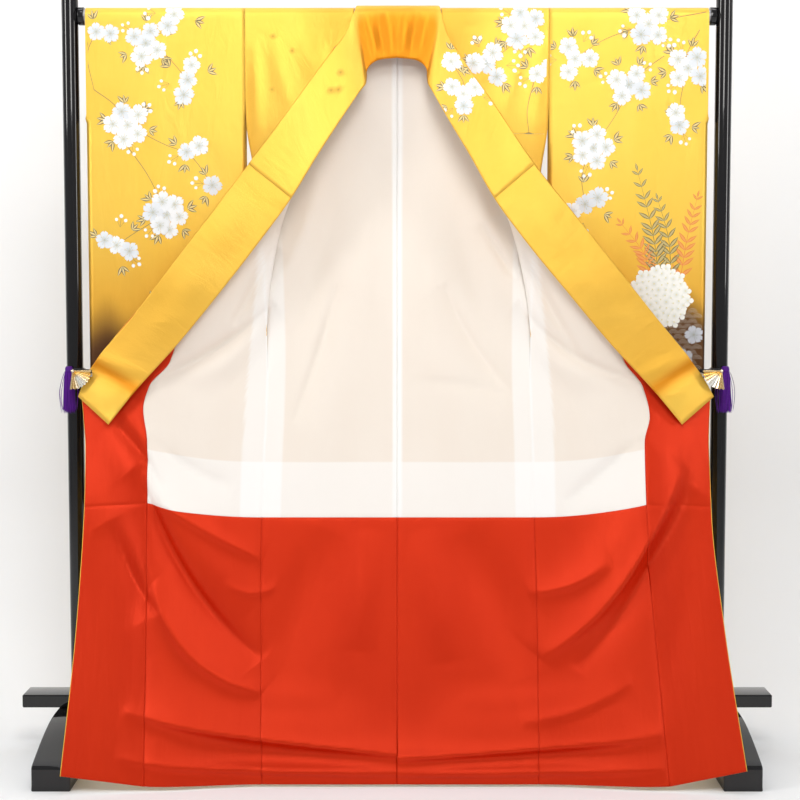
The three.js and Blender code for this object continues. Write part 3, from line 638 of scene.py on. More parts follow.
def weave_group():
    """Crossed threads as two sine waves over the cloth's own map, with slubs from a stretched noise.
    Puts out the height of the threads and of the cloth's crinkles, and a soft uneven tone from 0 to 1."""
    group = bpy.data.node_groups.new("silk weave", "ShaderNodeTree")
    for name in ("Thread", "Slub", "Crinkle"):
        group.interface.new_socket(name, in_out="INPUT", socket_type="NodeSocketFloat")
    for name in ("Height", "Tone"):
        group.interface.new_socket(name, in_out="OUTPUT", socket_type="NodeSocketFloat")
    ins, outs = node(group, "NodeGroupInput"), node(group, "NodeGroupOutput")
    cloth_map = node(group, "ShaderNodeUVMap", uv_map="cloth")
    place = node(group, "ShaderNodeSeparateXYZ", {0: cloth_map.outputs[0]})
    turns = math_node(group, "DIVIDE", 2 * np.pi, ins.outputs["Thread"])
    across = math_node(group, "SINE", math_node(group, "MULTIPLY", place.outputs[0], turns))
    along = math_node(group, "SINE", math_node(group, "MULTIPLY", place.outputs[1], turns))
    threads = math_node(group, "MULTIPLY", math_node(group, "ADD", across, along), 0.25)
    stretched = node(group, "ShaderNodeMapping", {0: cloth_map.outputs[0], "Scale": (90.0, 9.0, 1.0)})
    slubs = node(group, "ShaderNodeTexNoise", {"Vector": stretched.outputs[0], "Scale": 1.0, "Detail": 4.0})
    slub = math_node(group, "MULTIPLY", slubs.outputs["Fac"], ins.outputs["Slub"])
    drawn = node(group, "ShaderNodeMapping", {0: cloth_map.outputs[0], "Scale": (34.0, 11.0, 1.0)})
    crinkles = node(group, "ShaderNodeTexNoise",
                    {"Vector": drawn.outputs[0], "Scale": 1.0, "Detail": 3.0, "Distortion": 0.6})
    crinkle = math_node(group, "MULTIPLY", crinkles.outputs["Fac"], ins.outputs["Crinkle"])
    relief = math_node(group, "ADD", math_node(group, "ADD", threads, slub), crinkle)
    group.links.new(relief, outs.inputs["Height"])
    cloudy = node(group, "ShaderNodeMapping", {0: cloth_map.outputs[0], "Scale": (7.0, 3.0, 1.0)})
    clouds = node(group, "ShaderNodeTexNoise", {"Vector": cloudy.outputs[0], "Scale": 1.0, "Detail": 3.0})
    group.links.new(clouds.outputs["Fac"], outs.inputs["Tone"])
    return group


WEAVE = weave_group()


def add_weave(tree, shader, thread, slub, crinkle, depth):
    """Places the weave in a material, lays it under the shader's normal as a bump, and returns its group
    node."""
    weave = node(tree, "ShaderNodeGroup", node_tree=WEAVE)
    for name, value in (("Thread", thread), ("Slub", slub), ("Crinkle", crinkle)):
        weave.inputs[name].default_value = value
    raised = node(tree, "ShaderNodeBump",
                  {"Height": weave.outputs["Height"], "Strength": 0.5, "Distance": depth})
    tree.links.new(raised.outputs[0], shader.inputs["Normal"])
    return weave


# %% Silks
SATIN_LIGHT, SATIN_DEEP = (0.96, 0.67, 0.120, 1), (0.94, 0.57, 0.065, 1)
# The painted shade of the satin, a deep orange.
SATIN_AMBER_SHADE = (0.72, 0.25, 0.004, 1)
DUSK = (0.085, 0.030, 0.014, 1)
# The paler cream is the lining where it lies double, and also painted light towards the neck.
CREAM, CREAM_DOUBLE_AND_LIT, CREAM_SHADE = (0.88, 0.80, 0.71, 1), (0.93, 0.91, 0.88, 1), (0.82, 0.72, 0.62, 1)
RED_DEEP, RED_LIGHT = (0.58, 0.016, 0.001, 1), (0.68, 0.028, 0.003, 1)


def satin_material():
    """Yellow satin: two close yellows in soft clouds, a painted shade of deep orange and a dark dusk where
    the mesh carries them, and a broad gloss."""
    material, tree, shader = new_material(
        "yellow satin", SATIN_LIGHT[:3], 0.36, 0.65, Specular_IOR_Level=0.4)
    weave = add_weave(tree, shader, THREAD, 0.35, 9.0, 0.0003)
    yellow = blend_colours(tree, weave.outputs["Tone"], SATIN_DEEP, SATIN_LIGHT)
    # Painted shade: a deep orange where the mesh carries it.
    yellow = blend_colours(tree, named_value(tree, "amber_shade").outputs["Fac"], yellow, SATIN_AMBER_SHADE)
    dusk = blend_colours(tree, named_value(tree, "dusk").outputs["Fac"], yellow, DUSK)
    tree.links.new(dusk, shader.inputs["Base Color"])
    return material


def cream_material():
    """Thin cream silk: paler in bands where the mesh says that seam allowances lie behind it, and paler
    towards the neck as painted light.
    """
    material, tree, shader = new_material(
        "cream lining", CREAM[:3], 0.6, Sheen_Weight=0.1, Sheen_Roughness=0.4)
    weave = add_weave(tree, shader, THREAD, 0.5, 5.0, 0.0002)
    cream = blend_colours(tree, weave.outputs["Tone"], CREAM_SHADE, CREAM)
    # Paler where the lining lies double, and towards the neck as painted light.
    doubled_and_neck_light = blend_colours(tree, named_value(tree, "doubled_and_neck_light").outputs["Fac"], cream, CREAM_DOUBLE_AND_LIT)
    tree.links.new(doubled_and_neck_light, shader.inputs["Base Color"])
    return material


def red_material():
    """Red silk: two close reds in soft clouds, with a gloss that lifts the folds."""
    material, tree, shader = new_material(
        "red lining", RED_DEEP[:3], 0.31, 0.38,
        Specular_IOR_Level=0.55, Specular_Tint=(1.0, 0.58, 0.36, 1.0))
    weave = add_weave(tree, shader, THREAD, 0.5, 6.0, 0.0003)
    red = blend_colours(tree, weave.outputs["Tone"], RED_DEEP, RED_LIGHT)
    tree.links.new(red, shader.inputs["Base Color"])
    return material


SATIN, CREAM_SILK, RED_SILK = satin_material(), cream_material(), red_material()


def finish_with(piece, material, slot):
    """Gives a piece its only material. The slot is not used."""
    piece.data.materials.clear()
    piece.data.materials.append(material)
    return piece


# %% [markdown]
# ## The body and its linings
#
# A kimono has no shoulder seam: one length of cloth runs from the hem at the back, over the shoulder, to
# the hem in front. The overlap panel is sewn to its front edge. Inside it the lining is white down to the
# knee and red below. All of them lie on one surface, so they are cut from one grid by choosing faces.

# %% Body, overlap panels and linings
ROW_STEP, HEM_ROW_STEP = 9.0, 5.0      # mm from row to row of the grid, above the red lining and down it
HALF_WIDTH = 300              # mm of cloth for one step across, as the weave's map takes it
BODY_FLAT = (0.34, 3.17)      # metres, one length from hem to hem
OKUMI_FLAT = (0.17, 1.40)
LINING_FLAT = (0.34, 2.14)
HEM_FLAT = (0.33, 0.55)
OKUMI_EDGE_SHOWS = 0.009      # share of the overlap panel that its lining leaves bare at the front edge
CENTRE_ALLOWANCE, SIDE_ALLOWANCE, FOOT_ALLOWANCE = 11, 41, 112   # mm of doubled lining

seam_rows = LINING_DROP + np.array([-9, -6, -3, -1.5, 0, 1.5, 3, 6, 9])
SHOULDER_ROWS = DRAPE_RADIUS * (1 - np.cos(np.linspace(0, np.pi / 2, 9)))
BODY_ROWS = np.unique(np.concatenate([
    SHOULDER_ROWS, [NECK_CUT], spaced(DRAPE_RADIUS, OKUMI_TOP, ROW_STEP),
    spaced(OKUMI_TOP, seam_rows[0], ROW_STEP), seam_rows,
    [LINING_DROP - FOOT_ALLOWANCE, LINING_DROP - FOOT_ALLOWANCE - 3],
    spaced(seam_rows[-1], HEM_DROP, HEM_ROW_STEP),
]).round(3))
FRONT_ACROSS, NECK_ACROSS, OKUMI_ACROSS = 46, 14, 20


def body_cloth(side):
    """The whole base surface of a half: back, front and overlap panel, joined over the shoulder."""
    at, back, front = kimono_half(side)
    neck_share = float(at["edge"](0.0) / at["side"](0.0))
    front_s = crowded(FRONT_ACROSS)
    back_c = np.concatenate([neck_share * crowded(NECK_ACROSS)[:-1], (1 - front_s * (1 - neck_share))[::-1]])
    okumi_s = np.unique(np.concatenate([1 + crowded(OKUMI_ACROSS), [2 - OKUMI_EDGE_SHOWS]]))
    cloth = cloth_of(
        ("back", back_c, BODY_ROWS, back),
        ("front", front_s, BODY_ROWS, front),
        ("okumi", okumi_s, BODY_ROWS[BODY_ROWS >= OKUMI_TOP], front),
    )
    open_neck = (cloth["tag"] == "back") & (cloth["across"] < neck_share) & (cloth["down"] < NECK_CUT)
    return cloth, ~open_neck


def doubled_lining_and_neck_light(cloth, side):
    """Where the lining lies double: along the middle seam, on both sides of the side seam, and above the
    red. Towards the neck it is made paler as well: painted light where the collar shades it."""
    points = cloth["points"]
    drop = cloth["flat"][:, 1]
    side_out = curves_of(HALF_COLUMNS, HALF_ROWS[side])["side"](drop)
    centre = 1 - fade(points[:, 0], CENTRE_ALLOWANCE - 3, CENTRE_ALLOWANCE + 1)
    beyond = points[:, 0] - side_out
    outer = 6 + SIDE_ALLOWANCE * fade(drop, 400, 860)      # the allowance is caught in the folds higher up
    below_armhole = fade(drop, 430, 560)
    beside = fade(beyond, -SIDE_ALLOWANCE, 3 - SIDE_ALLOWANCE) * (1 - fade(beyond, outer - 4, outer))
    beside = beside * below_armhole
    foot = fade(drop, LINING_DROP - FOOT_ALLOWANCE - 3, LINING_DROP - FOOT_ALLOWANCE)
    stitched = 0.35 * bump(beyond, 0, 2.5) * below_armhole
    # Painted light: the lining is made paler towards the neck, where the collar shades it.
    near_neck = 0.4 * (1 - fade(drop, 60, 420))
    return np.clip(0.95 * centre + 0.62 * beside + 0.6 * foot + stitched + near_neck, 0, 1)


def body_amber_shade(cloth):
    """Painted shade: the satin is made a deeper yellow beside the neck and down the armhole, over a slight
    deepening everywhere.
    """
    out, drop = np.abs(cloth["points"][:, 0]), cloth["flat"][:, 1]
    shade_by_neck = 0.34 * bump(out, 130, 60) * (1 - fade(drop, 60, 260))
    shade_by_armhole = 0.28 * bump(out, 316, 26) * fade(drop, 40, 240)
    return 0.16 + shade_by_neck + shade_by_armhole


def make_body(side):
    """The pieces of one half: outer satin, white lining, and red lining in three widths."""
    cloth, there = body_cloth(side)
    mirror = side == LEFT
    values = {"dusk": np.zeros(len(cloth["points"])), "doubled_and_neck_light": doubled_lining_and_neck_light(cloth, side),
              "amber_shade": body_amber_shade(cloth)}
    is_okumi, above = cloth["tag"] == "okumi", cloth["down"] < LINING_DROP
    bare_edge = cloth["across"] > 2 - OKUMI_EDGE_SHOWS
    panels = [
        # name, wall, faces, finish, slot, flat size
        ("body", OUTER, there & ~is_okumi, SATIN, "yellow_satin", BODY_FLAT),
        ("okumi", OUTER, is_okumi, SATIN, "yellow_satin", OKUMI_FLAT),
        ("lining", LINING, there & ~is_okumi & above, CREAM_SILK, "white_lining", LINING_FLAT),
        ("hem_back", LINING, (cloth["tag"] == "back") & ~above, RED_SILK, "red_lining", HEM_FLAT),
        ("hem_front", LINING, (cloth["tag"] == "front") & ~above, RED_SILK, "red_lining", HEM_FLAT),
        ("hem_okumi", LINING, is_okumi & ~bare_edge, RED_SILK, "red_lining", OKUMI_FLAT),
    ]
    for name, wall, keep, material, slot, flat in panels:
        piece = cloth_piece(f"{name}_cloth_{side}", cloth, wall, keep, mirror, (HALF_WIDTH, 1), values)
        finish_with(piece, material, slot)
        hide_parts(f"{name}_{side}")
        area = sheet_area(cloth, keep)
        print(piece.name, "area", round(area, 3), "of", round(flat[0] * flat[1], 3), "m2")


for side in (LEFT, RIGHT):
    make_body(side)

# %% [markdown]
# ## The sleeves
#
# Each sleeve is a bag: one length of satin folded over the rod, sewn at the foot and up its outer edge as
# far as the wrist. It hangs free of the body below the armhole. The cloth is heavy, so it hangs almost
# flat, with long shallow waves.

# %% Sleeves
SLEEVE_INNER, SLEEVE_OUTER, SLEEVE_LENGTH, WRIST_DROP = 320.3, 655.0, 1050.0, 230.0
ROUND_EDGE, FOOT_GAP = 12.0, 9.0
SLEEVE_WIDTH = SLEEVE_OUTER - SLEEVE_INNER
SLEEVE_STEP = 0.032           # share of the width from column to column
SLEEVE_WAVES = [(46, 0.9, 1.7), (118, 0.7, 3.9), (205, 1.0, 5.2)]   # mm from the inner edge, depth, phase


def sleeve_wave(out, drop):
    """Long shallow waves of the front cloth, which grow towards the foot."""
    total = 0.0
    for centre, depth, phase in SLEEVE_WAVES:
        total = total + depth * bump(out - SLEEVE_INNER + 10 * np.sin(drop / 170 + phase), centre, 30)
    return total * fade(drop, 60, 500) * fade(SLEEVE_LENGTH - drop, 10, 120)


def sleeve_half_gap(out, drop):
    """Half the thickness of the bag: round over the rod, thinner towards the foot, closed in a round
    edge there and at the outer edge below the wrist."""
    body = DRAPE_RADIUS + (FOOT_GAP - DRAPE_RADIUS) * fade(drop, 200, SLEEVE_LENGTH)
    to_foot = np.clip((SLEEVE_LENGTH - drop) / ROUND_EDGE, 0, 1)
    to_edge = np.where(drop > WRIST_DROP, np.clip((SLEEVE_OUTER - out) / ROUND_EDGE, 0, 1), 1)
    rounded = np.minimum(over_rod(drop), body) * np.sqrt(1 - (1 - to_foot) ** 2)
    return rounded * np.sqrt(1 - (1 - to_edge) ** 2)


def sleeve_point(sign):
    """The bag's cloth behind (sign 1) or ahead of the rod (sign -1), over the share across and the drop."""
    def place(k, drop):
        out = SLEEVE_INNER + k * SLEEVE_WIDTH
        y = sign * sleeve_half_gap(out, drop) - (sleeve_wave(out, drop) if sign < 0 else 0)
        return np.stack(np.broadcast_arrays(out, y, SHOULDER - drop), -1)
    return place


def sleeve_dusk(cloth, side):
    """The satin is dyed dark at the sleeve's foot: on the left in a corner by the outer edge, on the
    right lower."""
    k, drop = cloth["flat"].T
    ragged = 24 * np.sin(k * 9.0 + 1.0) + 12 * np.sin(k * 23.0)
    if side == LEFT:
        return np.clip(fade(drop + ragged + 190 * (k - 1), 585, 710), 0, 1) * 0.97
    return np.clip(fade(drop + ragged + 150 * (k - 1), 575, 665), 0, 1) * 0.95


def make_sleeve(side):
    """One sleeve, from its two cloths that meet over the rod, at the foot and at the outer edge."""
    rounding = 1 - np.sin(np.linspace(0, np.pi / 2, 6))
    edge_share = ROUND_EDGE / SLEEVE_WIDTH
    k = np.unique(np.concatenate([spaced(0, 1 - edge_share, SLEEVE_STEP), 1 - edge_share * rounding]))
    rows = np.unique(np.concatenate([
        SHOULDER_ROWS, spaced(DRAPE_RADIUS, WRIST_DROP, ROW_STEP),
        spaced(WRIST_DROP, SLEEVE_LENGTH - ROUND_EDGE, ROW_STEP), SLEEVE_LENGTH - ROUND_EDGE * rounding,
    ]).round(3))
    cloth = cloth_of(("behind", k, rows, sleeve_point(1)), ("ahead", k[::-1], rows, sleeve_point(-1)))
    # Painted shade: the satin is made a deeper orange towards the sleeve's foot.
    amber_shade = 0.10 + 0.40 * fade(cloth["flat"][:, 1], 380, 640)
    piece = cloth_piece(f"sleeve_cloth_{side}", cloth, BOTH_CLOTHS, None, side == LEFT, (SLEEVE_WIDTH, 1),
                        {"dusk": sleeve_dusk(cloth, side), "amber_shade": amber_shade})
    finish_with(piece, SATIN, "yellow_satin")
    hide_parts(f"sleeve_{side}")
    print(piece.name, "area", round(sheet_area(cloth), 3))


for side in (LEFT, RIGHT):
    make_sleeve(side)

# %% [markdown]
# ## The collar
#
# The collar is one long band. It lies round the neck over the rod, runs down along the front edges, and its
# two ends are clipped to the posts. Worn, it is folded double; here it is opened to its full width. A
# second, shorter band, the over-collar, protects the part at the neck, and its two end seams show.

# %% Collar
COLLAR_COLUMNS = ("sewn_out", "sewn_drop", "sewn_forward", "turn", "free_out", "free_drop", "free_forward")
COLLAR_ROWS = {
    LEFT: [
        (0, 0, 0, 0, 40, 0, 106, 30),
        (45, 45, 0, 0, 38, 36, 110, 31),
        (78, 76, 0, 0, 25, 58, 124, 34),
        (96, 86, 0, 0, -25, 65, 140, 38),
        (112, 90, 0, 0, -68, 66, 152, 44),
        (128, 94, 17, 19, -90, 67, 163, 50),
        (165, 103, 46, 23, -90, 78, 180, 58),
        (250, 152, 115, 38, -90, 116, 238, 72),
        (340, 210, 196, 50, -90, 164, 312, 80),
        (455, 309, 330, 64, -90, 219, 402, 90),
        (560, 374, 416, 69, -90, 290, 498, 94),
        (690, 456, 521, 70, -90, 366, 594, 92),
        (840, 553, 645, 64, -90, 458, 704, 84),
        (985, 648, 760, 57, -90, 551, 806, 82),
        (1045, 672, 815, 57, -90, 604, 872, 84),
    ],
    RIGHT: [
        (0, 0, 0, 0, 40, 0, 106, 30),
        (45, 45, 0, 0, 38, 36, 110, 31),
        (78, 78, 0, 0, 25, 58, 124, 34),
        (96, 88, 0, 0, -25, 64, 140, 38),
        (112, 92, 0, 0, -68, 65, 152, 44),
        (128, 94, 17, 19, -90, 66, 163, 50),
        (165, 100, 46, 23, -90, 74, 180, 58),
        (250, 140, 115, 38, -90, 106, 238, 72),
        (340, 196, 196, 50, -90, 150, 312, 80),
        (455, 286, 330, 64, -90, 201, 402, 90),
        (560, 355, 416, 69, -90, 272, 498, 94),
        (690, 440, 521, 70, -90, 352, 594, 92),
        (840, 540, 645, 64, -90, 446, 704, 84),
        (985, 634, 760, 57, -90, 541, 806, 82),
        (1045, 667, 815, 57, -90, 596, 872, 84),
    ],
}
COLLAR_RADIUS = ROD_RADIUS + 5.0
COLLAR_WALL, OVER_COLLAR_WALL, OVER_COLLAR_HALF, COLLAR_END = (0.0, 2.0), (2.3, 3.3), 455.0, 1045.0
COLLAR_FLAT, OVER_COLLAR_FLAT = (0.118, 2.12), (0.118, 0.92)
# Rolls of the band: where along, where across, how long, how wide, how deep, and how they slant.
COLLAR_ROLLS = [
    (974, 0.5, 14, 0.9, -7.0, -0.03), (944, 0.5, 15, 0.9, 3.0, 0.0), (1012, 0.4, 20, 0.9, 3.0, 0.0),
    (700, 0.55, 170, 0.30, 1.6, 0.0), (780, 0.4, 30, 0.5, -1.2, 0.12), (560, 0.35, 60, 0.30, 1.6, 0.1),
    (630, 0.7, 40, 0.4, -1.4, 0.15), (330, 0.60, 60, 0.32, 1.6, 0.0), (400, 0.4, 36, 0.5, -1.3, -0.1),
    (190, 0.45, 40, 0.4, 2.2, 0.2), (250, 0.6, 26, 0.6, -1.6, 0.1), (14, 0.8, 9, 0.5, 4.6, 0.02),
    (36, 0.75, 8, 0.5, -4.2, 0.03), (58, 0.8, 8, 0.5, 4.2, 0.03),
]


def collar_half(side):
    """One half of the band, over the length from the middle of the neck and the share across, from the
    sewn edge. Near the neck it starts on an arc round the rod, turn degrees behind the top, then runs
    straight to its free edge. Further down it starts at its sewn edge in front."""
    at = curves_of(COLLAR_COLUMNS, COLLAR_ROWS[side])

    def place(along, k):
        turn = np.radians(at["turn"](along))
        sewn_out, quarter = at["sewn_out"](along), np.pi / 2
        round_rod = turn > -quarter + 1e-6
        sewn = np.stack([sewn_out, np.where(round_rod, -COLLAR_RADIUS, -at["sewn_forward"](along)),
                         np.where(round_rod, ROD_HEIGHT, SHOULDER - at["sewn_drop"](along))], -1)
        free = np.stack([
            at["free_out"](along), -at["free_forward"](along), SHOULDER - at["free_drop"](along)], -1)
        arc = np.where(round_rod, COLLAR_RADIUS * (turn + quarter), 0)
        straight = np.linalg.norm(free - sewn, axis=-1)
        reach = k * (arc + straight)
        angle = turn - reach / COLLAR_RADIUS
        on_arc = np.stack([
            sewn_out, COLLAR_RADIUS * np.sin(angle), ROD_HEIGHT + COLLAR_RADIUS * np.cos(angle)], -1)
        share = np.clip((reach - arc) / straight, 0, 1)[..., None]
        point = np.where((reach < arc)[..., None], on_arc, sewn + (free - sewn) * share)
        roll = sum(depth * bump(along + slant * 400 * (k - middle), start, length) * bump(k, middle, width)
                   for start, middle, length, width, depth, slant in COLLAR_ROLLS)
        point[..., 1] -= roll * np.sin(np.pi * np.clip(k, 0, 1)) ** 0.5
        return point

    return place


def collar_cloth():
    """Both halves in one grid: along is negative on the left."""
    halves = {side: collar_half(side) for side in (LEFT, RIGHT)}

    def place(along, k):
        left, right = halves[LEFT](np.abs(along), k) * (-1, 1, 1), halves[RIGHT](np.abs(along), k)
        return np.where((along < 0)[..., None], left, right)

    one_way = np.unique(np.concatenate([spaced(0, 128, 4), spaced(128, OVER_COLLAR_HALF, 8),
                                        spaced(OVER_COLLAR_HALF, COLLAR_END, 8)]))
    # From right to left, so that the walls lie in front.
    along = np.concatenate([one_way[:0:-1], -one_way])
    across = np.unique(np.concatenate([spaced(0, 0.36, 0.02), spaced(0.36, 1, 0.04)]))
    return cloth_of(("collar", along, across, place))


def make_collar():
    """The band and the over-collar, cut from one surface."""
    cloth = collar_cloth()
    along, k = np.abs(cloth["flat"][:, 0]), cloth["flat"][:, 1]
    # Painted shade: deep orange where the band turns under at the neck, towards its ends and in the trough
    # near each end, with a painted highlight on the ridge beside that trough.
    amber_shade = 0.26 + 0.74 * (1 - fade(along, 80, 150)) * fade(k, 0.05, 0.4) + 0.12 * fade(along, 600, 900)
    amber_shade = amber_shade + 0.6 * bump(along - 12 * (k - 0.5), 972, 15) - 0.2 * bump(along, 1015, 26)
    values = {"dusk": np.zeros(len(along)), "amber_shade": np.clip(amber_shade, 0, 1)}
    near_neck = np.abs(cloth["across"]) < OVER_COLLAR_HALF
    for name, wall, keep, flat in (("collar", COLLAR_WALL, None, COLLAR_FLAT),
                                   ("over_collar", OVER_COLLAR_WALL, near_neck, OVER_COLLAR_FLAT)):
        piece = cloth_piece(f"{name}_cloth", cloth, wall, keep, False, (1, COLLAR_FLAT[0] / MM), values)
        finish_with(piece, SATIN, "yellow_satin")
        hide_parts(name)
        print(piece.name, "area", round(sheet_area(cloth, slice(None) if keep is None else keep), 3))


make_collar()

# %% [markdown]
# ## Blossom on the satin
#
# The satin is painted before it is sewn: sprays of cherry blossom hang from the shoulders, and on one
# sleeve ferns and a white snowball flower rise from its dark foot. Paste and gold leaf lie a few tenths of
# a millimetre thick on the silk, so each picture is a mesh of its own that follows the satin at that
# height. A petal or a leaf is drawn once, flat and one unit long, with its colours at its points. Then it
# is set down many times, each time with its own place, size and turn.

# %% Flat shapes with colours
WHITE_PASTE, GREY_PASTE, PISTIL = (0.90, 0.90, 0.89), (0.72, 0.74, 0.71), (0.62, 0.61, 0.48)
LEAF_LINE, LEAF_FILL, TWIG_INK = (0.10, 0.075, 0.06), (0.80, 0.62, 0.26), (0.44, 0.25, 0.08)
FERN_INK, RUST_INK = (0.18, 0.15, 0.05), (0.80, 0.21, 0.04)
CREAM_PASTE, LIME_PASTE = (0.93, 0.91, 0.84), (0.80, 0.74, 0.44)
GOLD_INK, ARC_INK = (0.95, 0.55, 0.05), (0.55, 0.46, 0.36)


def between(first, second, share):
    """The colour that lies a share of the way from the first to the second."""
    return np.array(first) + (np.array(second) - np.array(first)) * np.asarray(share)[..., None]


def flat_shape(rows, across, half_width, length, colour, height=0.0):
    """A flat shape along +Y, over t from 0 at its foot to 1 at its tip and w from -1 to 1 across: w
    times half_width(t) aside and length(t, w) along. Gives points, faces and a colour for each point.
    height is in millimetres."""
    t, w = np.meshgrid(np.linspace(0, 1, rows), across, indexing="ij")
    points = np.stack([w * half_width(t), length(t, w), np.full(t.shape, height)], -1).reshape(-1, 3)
    return points, grid_faces(rows, len(across)), colour(t, w).reshape(-1, 3)


def together(shapes):
    """Several flat shapes as one."""
    starts = np.cumsum([0] + [len(points) for points, _, _ in shapes])
    return (np.concatenate([points for points, _, _ in shapes]),
            np.concatenate([faces + start for (_, faces, _), start in zip(shapes, starts)]),
            np.concatenate([colours for _, _, colours in shapes]))


def turned_by(shape, degrees):
    """A flat shape turned about its foot."""
    c, s = np.cos(np.radians(degrees)), np.sin(np.radians(degrees))
    return shape[0] @ np.array([[c, s, 0], [-s, c, 0], [0, 0, 1]]), shape[1], shape[2]


def petal(count, notch, steps=7, foot=0.09):
    """A petal that is as wide as its share of the circle allows, with a rounded end and a notch in its
    tip."""
    widest = np.tan(np.pi / count) * 0.96

    def half_width(t):
        return np.minimum(0.43 * np.sin(np.pi * (0.08 + 0.8 * t)) ** 0.8, widest * (foot + (1 - foot) * t))

    def length(t, w):
        return foot + (1 - foot) * t * (1 - notch * bump(w, 0, 0.34) * t**4 - 0.12 * w**4 * t**5)

    def colour(t, w):
        return between(GREY_PASTE, WHITE_PASTE, fade(t, -0.1, 0.5) * (1 - 0.22 * bump(w, 0, 0.2) * (1 - t)))

    return flat_shape(steps, np.linspace(-1, 1, steps), half_width, length, colour)


def disc(radius, colour, height, corners=10, rings=2):
    """A round spot, as a grid from its middle to its rim."""
    turn = np.linspace(0, 2 * np.pi, corners + 1)
    reach = np.linspace(0.02, 1.0, rings)[:, None] * radius
    points = np.stack([reach * np.cos(turn), reach * np.sin(turn), np.full((rings, corners + 1), height)], -1)
    return points.reshape(-1, 3), grid_faces(rings, corners + 1), np.tile(colour, (rings * (corners + 1), 1))


def stamen(reach, colour):
    """A thin thread with a thicker end."""
    return flat_shape(4, (-1, 1), lambda t: 0.012 + 0.022 * (t > 0.8), lambda t, w: 0.06 + (reach - 0.06) * t,
                      lambda t, w: between(colour, colour, t), 0.12)


def outlined(width, line, fill, rows=7):
    """A pointed leaf with a drawn edge."""
    def colour(t, w):
        return between(fill, line, fade(np.abs(w), 0.45, 0.62))

    return flat_shape(rows, (-1, -0.62, -0.45, 0.45, 0.62, 1),
                      lambda t: width * np.sin(np.pi * np.clip(t, 0.01, 0.985) ** 0.85),
                      lambda t, w: t, colour)


BLOSSOM = together([turned_by(petal(5, 0.24), 72 * i) for i in range(5)]
                   + [turned_by(stamen(0.26 + 0.12 * (i % 3), PISTIL), 36 * i + 11) for i in range(10)]
                   + [disc(0.10, PISTIL, 0.2)])
FLORET = together([turned_by(petal(4, 0.05, 5), 90 * i) for i in range(4)]
                  + [disc(0.13, LIME_PASTE, 0.12, 6)])
LEAF = outlined(0.17, LEAF_LINE, LEAF_FILL)
FERN_LEAF = outlined(0.15, FERN_INK, between(FERN_INK, LEAF_FILL, 0.6), 6)
RUST_LEAF = outlined(0.14, RUST_INK, between(RUST_INK, (0.9, 0.5, 0.12), 0.5), 6)
BUD = flat_shape(6, np.linspace(-1, 1, 5), lambda t: 0.46 * np.sin(np.pi * (0.03 + 0.94 * t)) ** 0.6,
                 lambda t, w: t, lambda t, w: between(GREY_PASTE, WHITE_PASTE, fade(t, 0.05, 0.3)))
STALK = flat_shape(5, (-1, 1), lambda t: 0.022 + 0 * t, lambda t, w: t,
                   lambda t, w: between(TWIG_INK, TWIG_INK, t))
print("blossom:", len(BLOSSOM[1]), "faces, leaf:", len(LEAF[1]), "faces")

# %% Setting shapes down on a cloth
STEP = 1e-3                   # of a difference along a cloth, in its own units
BLOSSOM_SHADES = [(1.0, 1.0, 1.0), (0.86, 0.88, 0.91), (0.95, 0.96, 0.97)]
GOLDEN_ANGLE = 137.508        # degrees from one seed of a sunflower to the next


def heading(turn):
    """One unit across and down, turned by some degrees from straight down."""
    return np.stack([-np.sin(np.radians(turn)), np.cos(np.radians(turn))], -1)


